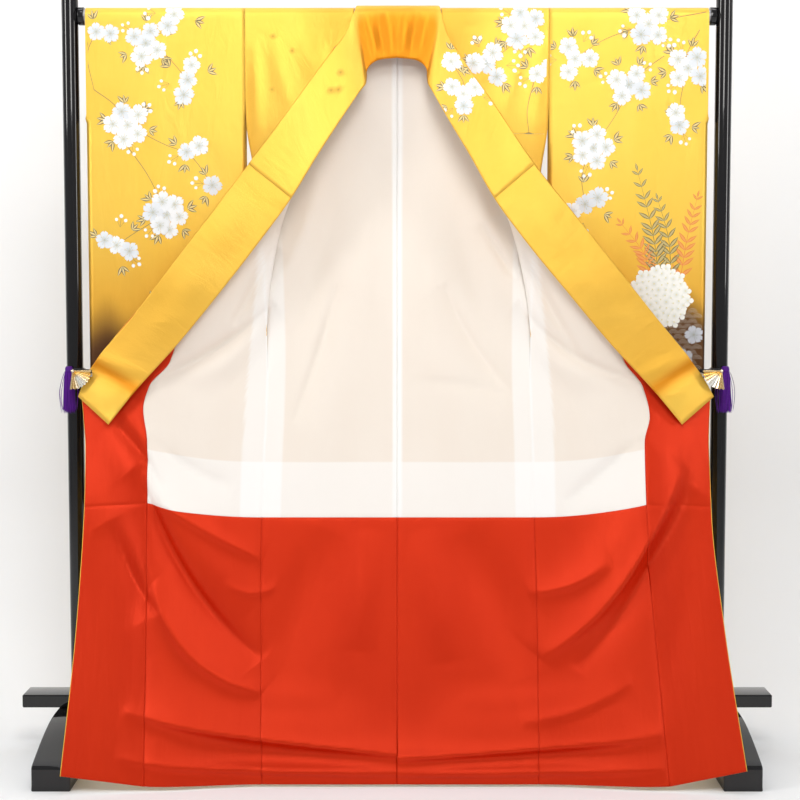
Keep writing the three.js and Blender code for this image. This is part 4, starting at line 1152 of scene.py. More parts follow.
class Painting:
    """Flat shapes on one cloth. place(across, down) gives its base surface in millimetres. side_of_cloth
    is 1 where across and down turn right-handed as seen from outside, and -1 where they don't. face is
    how far the satin's face lies from the base surface, and limits are the lowest and highest across and
    down that are painted."""

    def __init__(self, place, side_of_cloth, face, limits, seed, mirror=False):
        self.place, self.side_of_cloth, self.face, self.mirror = place, side_of_cloth, face, mirror
        self.low, self.high = np.array(limits, float).T
        self.random = np.random.default_rng(seed)
        self.places, self.heights, self.faces, self.colours, self.count = [], [], [], [], 0
        grid = np.stack(np.meshgrid(*np.linspace(self.low, self.high, 12).T), -1).reshape(-1, 2)
        self.least = np.median([np.linalg.norm(slope, axis=-1) for slope in self.slopes(grid)], axis=1) * 0.4

    def slopes(self, spots):
        """The two directions of the cloth at each spot, in millimetres for one unit across and down."""
        a, d = spots[..., 0], spots[..., 1]
        return (self.place(a + STEP, d) - self.place(a - STEP, d)) / (2 * STEP), \
            (self.place(a, d + STEP) - self.place(a, d - STEP)) / (2 * STEP)

    def frame(self, spots):
        """The cloth's own grid at each spot, measured against a square one whose first side runs across:
        how many millimetres one unit across is, how far one unit down leans that way, and how far it
        goes straight down. The first and last are never far less than elsewhere."""
        across, down = self.slopes(spots)
        first = np.linalg.norm(across, axis=-1)
        lean = (across * down).sum(-1) / np.maximum(first, 1e-9)
        straight = np.sqrt(np.maximum((down**2).sum(-1) - lean**2, 0))
        return np.maximum(first, self.least[0]), lean, np.maximum(straight, self.least[1])

    def moved(self, spots, millimetres):
        """Spots that lie some millimetres across and straight down from others, measured on the cloth."""
        first, lean, straight = self.frame(spots)
        down = millimetres[..., 1] / straight
        return spots + np.stack([(millimetres[..., 0] - down * lean) / first, down], -1)

    def keep(self, spots, heights, faces, colours):
        self.places.append(spots.reshape(-1, 2))
        self.heights.append(np.broadcast_to(heights, spots.shape[:-1]).reshape(-1))
        self.colours.append(np.broadcast_to(colours, spots.shape[:-1] + (3,)).reshape(-1, 3))
        self.faces.append(faces + self.count)
        self.count += spots[..., 0].size

    def set_down(self, shape, spots, size, turn, lift=0.3, tint=(1, 1, 1)):
        """One shape at many spots: size in millimetres, turn in degrees from straight down."""
        points, faces, colours = shape
        spots = np.atleast_2d(np.asarray(spots, float))
        size, turn, lift = [np.broadcast_to(np.asarray(v, float), len(spots))[:, None]
                            for v in (size, turn, lift)]
        tint = np.broadcast_to(np.asarray(tint, float), (len(spots), 3))[:, None]
        c, s = np.cos(np.radians(turn)), np.sin(np.radians(turn))
        x, y = size * points[:, 0], size * points[:, 1]
        local = np.stack([x * c - y * s, x * s + y * c], -1)
        start = np.arange(len(spots))[:, None, None] * len(points)
        self.keep(self.moved(np.repeat(spots[:, None], len(points), 1), local), lift + points[:, 2],
                  (start + faces).reshape(-1, faces.shape[1]), colours * tint)

    def ribbon(self, path, start_width, end_width, colour, lift=0.22, steps=16):
        """A smooth line through a few spots: a cubic through each four neighbours, drawn as two edges."""
        path = np.asarray(path, float)
        ends = np.concatenate([[2 * path[0] - path[1]], path, [2 * path[-1] - path[-2]]])
        at = np.linspace(0, len(path) - 1, steps * (len(path) - 1) + 1)
        i = np.minimum(at.astype(int), len(path) - 2)
        t = (at - i)[:, None]
        p0, p1, p2, p3 = [ends[i + j] for j in range(4)]
        line = 0.5 * (2 * p1 + (p2 - p0) * t + (2 * p0 - 5 * p1 + 4 * p2 - p3) * t**2
                      + (3 * p1 - p0 - 3 * p2 + p3) * t**3)
        first, lean, straight = self.frame(line)
        step = np.gradient(line, axis=0)
        run = np.stack([step[:, 0] * first + step[:, 1] * lean, step[:, 1] * straight], -1)
        aside = np.stack([-run[:, 1], run[:, 0]], -1) / np.linalg.norm(run, axis=1, keepdims=True)
        half = np.linspace(start_width, end_width, len(line))[:, None] / 2
        both = np.stack([self.moved(line, -aside * half), self.moved(line, aside * half)], 1)
        self.keep(both, lift, grid_faces(len(line), 2), np.array(colour))
        return line, np.degrees(np.arctan2(-run[:, 0], run[:, 1]))

    def cluster(self, spot, count, size=23.0, tint=None):
        """Blossoms round one in the middle, with leaves and buds that look out from under them."""
        draw = self.random
        spot, first = np.array(spot, float), draw.uniform(0, 360)
        ring = np.radians(first + np.arange(count - 1) * max(62, 360 / max(count - 1, 1))
                          + draw.uniform(-8, 8, count - 1))
        reach = size * 1.28 * draw.uniform(0.9, 1.1, count - 1)
        aside = np.concatenate([[[0, 0]], np.stack([np.cos(ring), np.sin(ring)], -1) * reach[:, None]])
        spots = self.moved(np.repeat(spot[None], count, 0), aside)
        shades = np.array(BLOSSOM_SHADES)[draw.integers(0, 3, count)]
        self.set_down(BLOSSOM, spots, size * draw.uniform(0.88, 1.1, count), draw.uniform(0, 72, count),
                      0.42 + 0.24 * np.arange(count), shades if tint is None else tint)
        rim = size * (1.6 if count < 3 else 2.45)
        leaf_turns = np.array([20, 140, 250, 320, 195])[: 2 + (count > 1) + 2 * (count > 3)]
        for turn in first + leaf_turns + draw.uniform(-20, 20):
            foot = self.moved(spot[None], heading(turn) * (rim - size * 0.45))[0]
            fan = turn + np.array([-38, 0, 38])
            self.set_down(LEAF, np.repeat(foot[None], 3, 0), size * draw.uniform(0.75, 1.0, 3), fan, 0.3,
                          (1, 1, 1) if tint is None else tint)
        for turn in first + np.array([85, 205])[: 1 + (count > 2)] + draw.uniform(-15, 15):
            foot = self.moved(spot[None], heading(turn) * (rim - size * 0.75))[0]
            spread = turn + np.array([-30, 4, 36])
            long = size * np.array([0.62, 0.82, 0.6])
            self.set_down(STALK, np.repeat(foot[None], 3, 0), long, spread, 0.26)
            tips = self.moved(np.repeat(foot[None], 3, 0), long[:, None] * heading(spread))
            self.set_down(BUD, tips, size * draw.uniform(0.30, 0.42, 3), spread, 0.34,
                          (1, 1, 1) if tint is None else tint)

    def frond(self, path, leaf_shape, colour, leaf=30.0, pairs=10):
        """A fern: a bent rib with pairs of narrow leaves that grow shorter towards its tip."""
        line, heading = self.ribbon(path, 1.4, 0.5, colour)
        at = np.linspace(0.06, 0.97, pairs) * (len(line) - 1)
        near = at.astype(int)
        size = leaf * (1 - 0.55 * (near / len(line)) ** 2)
        for lean in (-46, 46):
            self.set_down(leaf_shape, line[near], size, heading[near] + lean, 0.3)
        self.set_down(leaf_shape, line[-1:], size[-1], heading[-1:], 0.3)

    def snowball(self, spot, radius, florets=70):
        """A round head of small four-petalled flowers, set like seeds in a sunflower, on a paler ground."""
        spot, number = np.array(spot, float), np.arange(florets) + 0.5
        reach, turn = radius * np.sqrt(number / florets), np.radians(number * GOLDEN_ANGLE)
        self.set_down(disc(1, LIME_PASTE, 0, 28, 9), spot[None], radius * 0.97, 0, 0.36)
        aside = np.stack([np.cos(turn), np.sin(turn)], -1) * reach[:, None]
        spots = self.moved(np.repeat(spot[None], florets, 0), aside)
        self.set_down(FLORET, spots, radius * 0.215, self.random.uniform(0, 90, florets),
                      0.45 + 0.02 * (np.arange(florets) % 6), np.array(CREAM_PASTE) / np.array(WHITE_PASTE))

    def piece(self, name):
        """All that was set down, as one mesh that stands a little off the satin."""
        spots, faces = np.concatenate(self.places), np.concatenate(self.faces)
        spots = np.clip(spots, self.low, self.high)
        across, down = self.slopes(spots)
        normal = np.cross(across, down) * self.side_of_cloth
        normal /= np.maximum(np.linalg.norm(normal, axis=1, keepdims=True), 1e-9)
        height = self.face + np.concatenate(self.heights)
        points = self.place(spots[:, 0], spots[:, 1]) + normal * height[:, None]
        a, b, c, d = [points[faces[:, i]] for i in range(4)]
        # What was cut off at a border has no area.
        real = np.linalg.norm(np.cross(c - a, d - b), axis=1) > 0.01
        faces = faces[real]
        facing = (np.cross(c - a, d - b)[real] * normal[faces[:, 0]]).sum(1) < 0
        faces[facing] = faces[facing, ::-1]
        used, faces = np.unique(faces, return_inverse=True)
        faces, points = faces.reshape(-1, 4), points[used]
        if self.mirror:
            points, faces = points * (-1, 1, 1), faces[:, ::-1]
        ink = np.concatenate([np.concatenate(self.colours)[used], np.ones((len(used), 1))], 1)
        thing = mesh_object(name, points * MM, faces, True, points[:, [0, 2]] * MM, {"ink": ink})
        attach(thing, ROOT)
        print(name, len(faces), "faces")
        return finish_with(thing, PAINT, "yellow_satin")


def paint_material():
    """Paste and dye on silk: its colours come from the mesh, and the weave shows through."""
    material, tree, shader = new_material("painted silk", WHITE_PASTE, 0.55)
    add_weave(tree, shader, THREAD, 0.3, 2.0, 0.0002)
    tree.links.new(named_value(tree, "ink").outputs["Color"], shader.inputs["Base Color"])
    return material


PAINT = paint_material()

# %% Sprays on the sleeves
SLEEVE_LIMITS = ((0.006, 0.985), (2.5, SLEEVE_LENGTH - 14))
SLEEVE_SPRAYS = {
    # across from the inner edge as a share, down in millimetres, how many blossoms
    LEFT: [
        [(0.44, 14, 3), (0.62, 74, 5), (0.36, 150, 3)],
        [(0.93, 50, 2), (0.95, 170, 0), (0.74, 244, 6), (0.37, 300, 2), (0.21, 370, 1)],
        [(0.74, 290, 0), (0.50, 432, 7), (0.82, 496, 3)],
    ],
    RIGHT: [
        [(0.98, 10, 0), (0.62, 34, 5), (0.16, 106, 4)],
        [(0.94, 46, 0), (0.87, 126, 5), (0.82, 244, 2)],
        [(0.72, 100, 0), (0.50, 160, 5), (0.28, 292, 6), (0.23, 410, 3)],
    ],
}


def sleeve_painting(side, sign, seed):
    """The painting of one face of a sleeve, ahead (sign -1) or behind (sign 1)."""
    return Painting(sleeve_point(sign), sign, BOTH_CLOTHS[1], SLEEVE_LIMITS, seed, side == LEFT)


def loose_leaf(painting, spot, turn):
    """Three leaves on a stalk of their own."""
    spot = np.array([spot], float)
    painting.set_down(LEAF, np.repeat(spot, 3, 0), (15, 19, 15), turn + np.array([-45, 0, 45]), 0.3)


def add_spray(painting, clusters, **how):
    """A spray whose clusters without blossoms are only bends of the twig."""
    spots = np.array([cluster[:2] for cluster in clusters], float)
    for start, end in zip(spots[:-1], spots[1:]):
        bend = painting.moved(((start + end) / 2)[None], painting.random.uniform(-16, 16, 2))[0]
        painting.ribbon([start, bend, end], 1.9, 1.2, TWIG_INK)
    for across, down, count in clusters:
        if count:
            painting.cluster((across, down), count, **how)


def dark_foot_flowers(painting, spots):
    """Grey blossoms over gold waves, which are rows of nested arcs, on the dyed dark foot of a sleeve."""
    for row, down in enumerate(np.arange(640, 940, 11.0)):
        for across in np.arange(0.50 + 0.03 * (row % 2), 0.965, 0.06):
            if down + 150 * (across - 1) > 622:
                for size in (4, 7, 10):
                    turn = np.radians(np.linspace(190, 350, 6))
                    reach = np.stack([np.cos(turn), np.sin(turn)], -1) * size
                    rim = painting.moved(np.repeat([[across, down]], 6, 0), reach)
                    painting.ribbon(rim, 0.7, 0.7, ARC_INK, 0.25, 2)
    for across, down in spots:
        painting.set_down(BLOSSOM, [(across, down)], 21, 20, 0.45, (0.60, 0.61, 0.66))


for side in (LEFT, RIGHT):
    for sign, seed, where in ((-1, 11, "front"), (1, 23, "back")):
        painting = sleeve_painting(side, sign, seed + (side == RIGHT) * 5)
        for clusters in SLEEVE_SPRAYS[side]:
            add_spray(painting, clusters)
        if side == LEFT:
            loose_leaf(painting, (0.60, 606), 150)
            add_spray(painting, [(0.30, 700, 0), (0.25, 800, 4), (0.55, 900, 5)])
        else:
            painting.frond([(0.70, 556), (0.66, 470), (0.56, 340)], FERN_LEAF, FERN_INK, 34, 12)
            painting.frond([(0.78, 560), (0.76, 480), (0.69, 400)], FERN_LEAF, FERN_INK, 30, 9)
            painting.frond([(0.64, 556), (0.60, 510), (0.46, 450)], RUST_LEAF, RUST_INK, 30, 8)
            painting.frond([(0.84, 566), (0.88, 480), (0.94, 395)], RUST_LEAF, RUST_INK, 30, 10)
            painting.frond([(0.50, 640), (0.46, 600), (0.42, 560)], RUST_LEAF, RUST_INK, 24, 6)
            painting.snowball((0.71, 606), 62)
            painting.snowball((0.40, 860), 50)
            dark_foot_flowers(painting, [(0.93, 686), (0.87, 735), (0.74, 720), (0.62, 800), (0.90, 850)])
        painting.piece(f"sleeve_painting_{where}_{side}")

# %% Sprays on the body and the collar
BODY_LIMITS = ((0.01, 0.99), (2.5, 1560.0))
FRONT_LIMITS = ((0.012, 0.98), (2.5, 1000.0))
BACK_FERNS = [
    # foot, tip, leaf, ink, leaf length in mm, pairs of leaves
    ((0.45, 1480), (0.36, 1280), FERN_LEAF, FERN_INK, 26, 14),
    ((0.62, 1500), (0.66, 1300), FERN_LEAF, FERN_INK, 26, 14),
    ((0.86, 1500), (0.93, 1320), FERN_LEAF, FERN_INK, 26, 14),
    ((0.30, 1490), (0.22, 1370), RUST_LEAF, RUST_INK, 24, 10),
    ((0.74, 1490), (0.80, 1380), RUST_LEAF, RUST_INK, 24, 10),
]
for side in (LEFT, RIGHT):
    _, back, front = kimono_half(side)
    ahead = Painting(front, 1, OUTER[1], FRONT_LIMITS, 31 + (side == RIGHT), side == LEFT)
    if side == RIGHT:
        add_spray(ahead, [(0.20, 38, 6), (0.36, 118, 4)])
        add_spray(ahead, [(0.05, 138, 2), (0.085, 262, 3)])
    else:
        for spot in ((0.20, 60), (0.30, 90), (0.12, 170)):
            ahead.set_down(BLOSSOM, [spot], 8, 10, 0.3, np.array(GOLD_INK))
    ahead.piece(f"body_painting_front_{side}")
    behind = Painting(back, 1, OUTER[1], BODY_LIMITS, 41 + (side == RIGHT), side == LEFT)
    add_spray(behind, [(0.90, 40, 3), (0.62, 110, 6), (0.34, 230, 4), (0.16, 330, 2)])
    add_spray(behind, [(0.95, 200, 0), (0.80, 320, 4), (0.55, 450, 5), (0.72, 580, 2)])
    add_spray(behind, [(0.30, 960, 1), (0.55, 1060, 4), (0.30, 1170, 6), (0.70, 1230, 5)])
    for start, tip, *fern in BACK_FERNS:
        middle = ((start[0] + tip[0]) / 2 + 0.03, (start[1] + tip[1]) / 2)
        behind.frond([start, middle, tip], *fern)
    behind.snowball((0.52, 1490), 58)
    behind.snowball((0.16, 1500), 50)
    behind.piece(f"body_painting_back_{side}")

right_collar, left_collar = [collar_half(side) for side in (RIGHT, LEFT)]
over_limits = ((150.0, OVER_COLLAR_HALF - 4), (0.02, 0.98))
collar_right = Painting(right_collar, -1, OVER_COLLAR_WALL[1], over_limits, 51)
add_spray(collar_right, [(212, 0.26, 1), (272, 0.42, 4)])
collar_right.piece("collar_painting_right")
collar_left = Painting(left_collar, -1, OVER_COLLAR_WALL[1], over_limits, 52, True)
for spot in ((216, 0.42), (234, 0.60), (254, 0.48)):
    collar_left.set_down(BLOSSOM, [spot], 10, 10, 0.3, np.array(GOLD_INK))
collar_left.piece("collar_painting_left")

# %% [markdown]
# ## The stand
#
# The stand is turned and planed wood under many coats of black lacquer. Each of its pieces is a closed
# outline carried along a line: circles up a post, the side view of a foot carried across its width, a
# rounded rectangle along the crossbar. Lacquer gathers at the edges, so none of them is sharp: the last
# rings draw in along a quarter circle.

# %% Skins over rings
def skin(rings, ends="closed"):
    """Quads between each closed ring and the next. Ends are closed by a fan to the ring's middle, or the
    last ring is joined to the first. The faces are turned outwards by the sign of the volume they
    enclose."""
    rings = np.asarray(rings, float)
    count, size = rings.shape[:2]
    number = np.arange(count * size).reshape(count, size)
    following = np.roll(number, -1, axis=1)
    upper = np.roll(number, -1, axis=0) if ends == "joined" else number[1:]
    upper_next = np.roll(following, -1, axis=0) if ends == "joined" else following[1:]
    low, low_next = (number, following) if ends == "joined" else (number[:-1], following[:-1])
    quads = np.stack([low, low_next, upper_next, upper], -1).reshape(-1, 4)
    points = rings.reshape(-1, 3)
    faces = [quads]
    if ends == "closed":
        points = np.concatenate([points, [rings[0].mean(0), rings[-1].mean(0)]])
        middle, last = np.full(size, count * size), np.full(size, count * size + 1)
        faces.append(np.stack([number[0], middle, following[0]], -1))
        faces.append(np.stack([number[-1], following[-1], last], -1))
    a, b, c, d = [points[quads[:, i]] for i in range(4)]
    volume = (np.cross(a, b) * c + np.cross(a, c) * d).sum()
    if volume < 0:
        faces = [face[:, ::-1] for face in faces]
    return points, [list(face) for block in faces for face in block]


def hard_piece(name, points, faces, node_name, material, slot, values=None):
    """A hard piece in place of a CAD node: smooth, but with its real corners kept."""
    piece = mesh_object(name, np.asarray(points) * MM, faces, True, values=values)
    piece.data.set_sharp_from_angle(angle=np.radians(38))
    finish_with(piece, material, slot)
    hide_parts(node_name)
    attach(piece, ROOT)
    print(name, len(faces), "faces")
    return piece


def turned_rings(profile, axis="Z", sides=72):
    """Circles round an axis, one for each (radius, height) of a profile."""
    turn = np.linspace(0, 2 * np.pi, sides, endpoint=False)
    radius, height = np.array(profile, float).T
    a, b = radius[:, None] * np.cos(turn), radius[:, None] * np.sin(turn)
    h = np.broadcast_to(height[:, None], a.shape)
    return np.stack([a, b, h] if axis == "Z" else [h, a, b], -1)


def quarter(radius, steps=5):
    """Pairs (in from the face, along) of a quarter circle that rounds an edge."""
    turn = np.linspace(0, np.pi / 2, steps)
    return np.stack([radius * (1 - np.sin(turn)), radius * (1 - np.cos(turn))], -1)


def carried_along_x(outline, start, end, radius):
    """A closed outline of (y, z) from start to end along X. Towards both ends it shrinks along its own
    normals."""
    outline = np.asarray(outline, float)
    run = np.roll(outline, -1, 0) - np.roll(outline, 1, 0)
    inwards = np.stack([-run[:, 1], run[:, 0]], -1) / np.linalg.norm(run, axis=1, keepdims=True)
    area = (outline[:, 0] * np.roll(outline[:, 1], -1) - np.roll(outline[:, 0], -1) * outline[:, 1]).sum()
    inwards *= np.sign(area)
    edge = quarter(radius)
    shrink = np.concatenate([edge[:, 0], edge[::-1, 0]])
    x = np.concatenate([start + edge[:, 1], end - edge[::-1, 1]])
    rings = outline + inwards * shrink[:, None, None]
    return np.concatenate([np.broadcast_to(x[:, None, None], rings.shape[:2] + (1,)), rings], -1)


# %% Finishes of the hard pieces
def handled_group():
    """Fine unevenness of a handled surface. Puts out a roughness that varies between two values, and a
    height."""
    group = bpy.data.node_groups.new("handled surface", "ShaderNodeTree")
    for name in ("Scale", "Smooth", "Rough"):
        group.interface.new_socket(name, in_out="INPUT", socket_type="NodeSocketFloat")
    for name in ("Roughness", "Height"):
        group.interface.new_socket(name, in_out="OUTPUT", socket_type="NodeSocketFloat")
    ins, outs = node(group, "NodeGroupInput"), node(group, "NodeGroupOutput")
    place = node(group, "ShaderNodeTexCoord").outputs["Object"]
    clouds = node(group, "ShaderNodeTexNoise",
                  {"Vector": place, "Scale": ins.outputs["Scale"], "Detail": 5.0})
    spread = math_node(group, "SUBTRACT", ins.outputs["Rough"], ins.outputs["Smooth"])
    share = math_node(group, "MULTIPLY", clouds.outputs["Fac"], spread)
    group.links.new(math_node(group, "ADD", share, ins.outputs["Smooth"]), outs.inputs["Roughness"])
    group.links.new(clouds.outputs["Fac"], outs.inputs["Height"])
    return group


HANDLED = handled_group()


def hard_material(name, colour, metallic, scale, smooth, rough, depth, **sockets):
    """A finish with a roughness and a slight bump from the handled surface."""
    material, tree, shader = new_material(name, colour, smooth, metallic, **sockets)
    handled = node(tree, "ShaderNodeGroup", node_tree=HANDLED)
    for key, value in (("Scale", scale), ("Smooth", smooth), ("Rough", rough)):
        handled.inputs[key].default_value = value
    tree.links.new(handled.outputs["Roughness"], shader.inputs["Roughness"])
    raised = node(tree, "ShaderNodeBump",
                  {"Height": handled.outputs["Height"], "Strength": 0.3, "Distance": depth})
    tree.links.new(raised.outputs[0], shader.inputs["Normal"])
    return material, tree, shader


LACQUER_DARK, LACQUER_GRAIN = (0.004, 0.0035, 0.004, 1), (0.009, 0.008, 0.008, 1)
LACQUER, lacquer_tree, lacquer_shader = hard_material(
    "black lacquer", LACQUER_DARK[:3], 0.0, 14.0, 0.05, 0.13, 0.0003,
    Coat_Weight=0.3, Coat_Roughness=0.03, Specular_IOR_Level=0.35)
STEEL, _, _ = hard_material("rod steel", (0.56, 0.56, 0.58), 1.0, 140.0, 0.22, 0.42, 0.0002)
BAND, _, _ = hard_material("elastic band", (0.018, 0.018, 0.020), 0.0, 600.0, 0.45, 0.7, 0.0004)


# The pale colour is partly a paler metal leaf and partly a painted reflection.
GILT_COLOUR, SILVER_AND_GLINT = (0.80, 0.50, 0.13, 1), (0.95, 0.93, 0.86, 1)
JAW_METAL, JAW_BAND, JAW_METALLIC = (0.72, 0.68, 0.60, 1), (0.015, 0.015, 0.017, 1), 0.9


def gold_material():
    """Thin gilt metal, pale where the mesh says so: partly a paler leaf, partly a painted reflection."""
    material, tree, shader = hard_material("gilt", (0.83, 0.56, 0.17), 0.95, 300.0, 0.16, 0.36, 0.0003)
    silver_and_glint = blend_colours(tree, named_value(tree, "silver_and_glint").outputs["Fac"], GILT_COLOUR, SILVER_AND_GLINT)
    tree.links.new(silver_and_glint, shader.inputs["Base Color"])
    return material


def clip_material():
    """The spring clip: a bright metal jaw with a black band along its upper half."""
    material, tree, shader = hard_material("clip metal", JAW_METAL[:3], JAW_METALLIC, 200.0, 0.2, 0.4, 0.0003)
    place = node(tree, "ShaderNodeTexCoord").outputs["Object"]
    height = node(tree, "ShaderNodeSeparateXYZ", {0: place}).outputs[2]
    is_band = math_node(tree, "GREATER_THAN", height, CLIP_BAND_FROM * MM)
    tree.links.new(blend_colours(tree, is_band, JAW_METAL, JAW_BAND), shader.inputs["Base Color"])
    metallic = math_node(tree, "MULTIPLY", math_node(tree, "SUBTRACT", 1.0, is_band), JAW_METALLIC)
    tree.links.new(metallic, shader.inputs["Metallic"])
    return material


# The grain of the wood just shows through the lacquer, along the posts.
grain_place = node(lacquer_tree, "ShaderNodeTexCoord").outputs["Object"]
grain_stretch = node(lacquer_tree, "ShaderNodeMapping", {0: grain_place, "Scale": (220.0, 220.0, 6.0)})
grain = node(lacquer_tree, "ShaderNodeTexNoise",
             {"Vector": grain_stretch.outputs[0], "Scale": 1.0, "Detail": 3.0})
lacquer_tree.links.new(
    blend_colours(lacquer_tree, grain.outputs["Fac"], LACQUER_DARK, LACQUER_GRAIN),
    lacquer_shader.inputs["Base Color"])

# %% Posts, feet, crossbar and rod
EDGE = 3.0                    # mm, radius of the lacquered edges


def post(side):
    """Circles up the post, drawn in at its foot and over its rounded top."""
    low, high = corners_mm(f"post_{side}")
    radius, x = (high[0] - low[0]) / 2, (high[0] + low[0]) / 2
    foot = [(0.01, low[2])] + [(radius - cut, low[2] + up) for cut, up in quarter(1.5)]
    straight = [(radius, z) for z in np.linspace(low[2] + 20, high[2] - radius - 4, 12)]
    turn = np.linspace(0, np.pi / 2, 14)[:-1]
    top = [(radius * np.cos(a), high[2] - radius + radius * np.sin(a)) for a in turn]
    points, faces = skin(turned_rings(foot + straight + top + [(0.01, high[2])]))
    return hard_piece(f"turned_post_{side}", points + (x, 0, 0), faces, f"post_{side}", LACQUER, "lacquer")


def foot_outline(high):
    """The side view of a foot: a flat toe with a rounded nose, a rise along a sine to the flat under the
    crossbar, and a shallow arch below."""
    toe, flat, nose, arch = 50.0, 60.0, 9.0, 8.0
    k = np.linspace(0, 1, 22)
    rise = np.stack([-high[1] + (high[1] - flat) * k, toe + (high[2] - toe) * np.sin(k * np.pi / 2)], -1)
    turn = np.linspace(np.pi, np.pi * 0.62, 7)
    corner = np.stack([-high[1] + nose + nose * np.cos(turn), toe - nose + 2 + nose * np.sin(turn)], -1)
    rise = rise[rise[:, 0] > corner[-1, 0] + 3]
    a = np.linspace(1, -1, 19)
    under = np.stack([a * high[1] * 0.55, arch * (1 - a * a)], -1)
    toe_line = np.stack([np.full(4, -high[1]), np.linspace(0, toe - nose, 5)[:-1]], -1)
    half = np.concatenate([toe_line, corner, rise])
    return np.concatenate([half, (half * (-1, 1))[::-1], under])


def foot(side):
    low, high = corners_mm(f"foot_{side}")
    points, faces = skin(carried_along_x(foot_outline(high), low[0], high[0], EDGE))
    return hard_piece(f"carved_foot_{side}", points, faces, f"foot_{side}", LACQUER, "lacquer")


def crossbar():
    """A rounded rectangle along X."""
    low, high = corners_mm("crossbar")
    turn = np.linspace(0, np.pi / 2, 6)
    corner = EDGE * np.stack([np.cos(turn), np.sin(turn)], -1)
    half, middle = (high - low)[1:] / 2 - EDGE, (high + low)[1:] / 2
    outline = np.concatenate([
        (corner + half), (corner[:, ::-1] * (-1, 1) + half * (-1, 1)), (-corner - half),
        (corner[:, ::-1] * (1, -1) + half * (1, -1)),
    ]) + middle
    points, faces = skin(carried_along_x(outline, low[0], high[0], EDGE))
    return hard_piece("planed_crossbar", points, faces, "crossbar", LACQUER, "lacquer")


def rod():
    low, high = corners_mm("rod")
    radius = (high[2] - low[2]) / 2
    ends = [(radius - cut, low[0] + along) for cut, along in quarter(1.5)]
    profile = [(0.01, low[0])] + ends + [(radius, x) for x in np.linspace(-640, 640, 9)]
    profile += [(r, -x) for r, x in ends[::-1]] + [(0.01, high[0])]
    points, faces = skin(turned_rings(profile, "X"))
    return hard_piece("rod_tube", points + (0, 0, ROD_HEIGHT), faces, "rod", STEEL, "steel")


def ring_profile(inner, outer, start, end, radius=1.5):
    """The section of a ring, as a closed loop with rounded outer edges."""
    edge = quarter(radius)
    return ([(inner, start)] + [(outer - cut, start + along) for cut, along in edge]
            + [(outer - cut, end - along) for cut, along in edge[::-1]] + [(inner, end)])


def rod_socket(side):
    low, high = corners_mm(f"rod_socket_{side}")
    outer = (high[2] - low[2]) / 2
    profile = ring_profile(ROD_RADIUS + 0.3, outer, low[0], high[0])
    points, faces = skin(turned_rings(profile, "X"), "joined")
    points = points + (0, 0, ROD_HEIGHT)
    return hard_piece(f"socket_ring_{side}", points, faces, f"rod_socket_{side}", LACQUER, "lacquer")


for side in (LEFT, RIGHT):
    post(side), foot(side), rod_socket(side)
crossbar(), rod()

# %% [markdown]
# ## Clips, fans and tassels
#
# An elastic band round each post carries a spring clip, which grips the collar's end. A small gilt fan
# covers the clip, and a purple tassel hangs in front of the post. The fan is one pleated sheet between two
# flat guards, and the tassel is what it is on the real one: a wound head with well over a hundred threads
# below it.

# %% Bands and clips
def strap(side):
    """A flat band round the post with rounded edges and two fine ribs."""
    low, high = corners_mm(f"strap_{side}")
    x, outer = (low[0] + high[0]) / 2, (high[0] - low[0]) / 2
    z = np.linspace(low[2] + 0.6, high[2] - 0.6, 15)
    rib = 0.25 * np.cos((z - low[2]) / (high[2] - low[2]) * 6 * np.pi)
    inner = outer - 2.0
    profile = ([(inner, low[2]), (outer - 0.8, low[2])] + list(zip(outer - 0.25 + rib, z))
               + [(outer - 0.8, high[2]), (inner, high[2])])
    points, faces = skin(turned_rings(profile, sides=64), "joined")
    return hard_piece(f"elastic_band_{side}", points + (x, 0, 0), faces, f"strap_{side}", BAND, "strap")


clip_low, clip_high = corners_mm("clip_right")
CLIP_BAND_FROM = clip_low[2] + 0.5 * (clip_high[2] - clip_low[2])
GILT, CLIP_METAL = gold_material(), clip_material()
for side in (LEFT, RIGHT):
    strap(side)
    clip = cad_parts[f"clip_{side}"]
    clip.data.materials.clear()
    clip.data.materials.append(CLIP_METAL)

# %% Fans
FAN_RADIUS, FAN_HUB, FAN_PLEATS = 38.0, 4.0, 16
FAN_FACING, FAN_SPREAD = 228.0, 96.0     # degrees from +X to its middle, and from side to side
fan_low, fan_high = corners_mm("fan_right")
FAN_MIDDLE = (fan_low[1] + fan_high[1]) / 2
FAN_CENTRE = (680.0, fan_high[2])


def fan_ring(angle, radius, forward, thickness):
    """Front and back points of a fan at an angle in degrees and a radius."""
    a = np.radians(angle)
    x, z = FAN_CENTRE[0] + radius * np.cos(a), FAN_CENTRE[1] + radius * np.sin(a)
    return np.stack([x, forward - thickness / 2, z], -1), np.stack([x, forward + thickness / 2, z], -1)


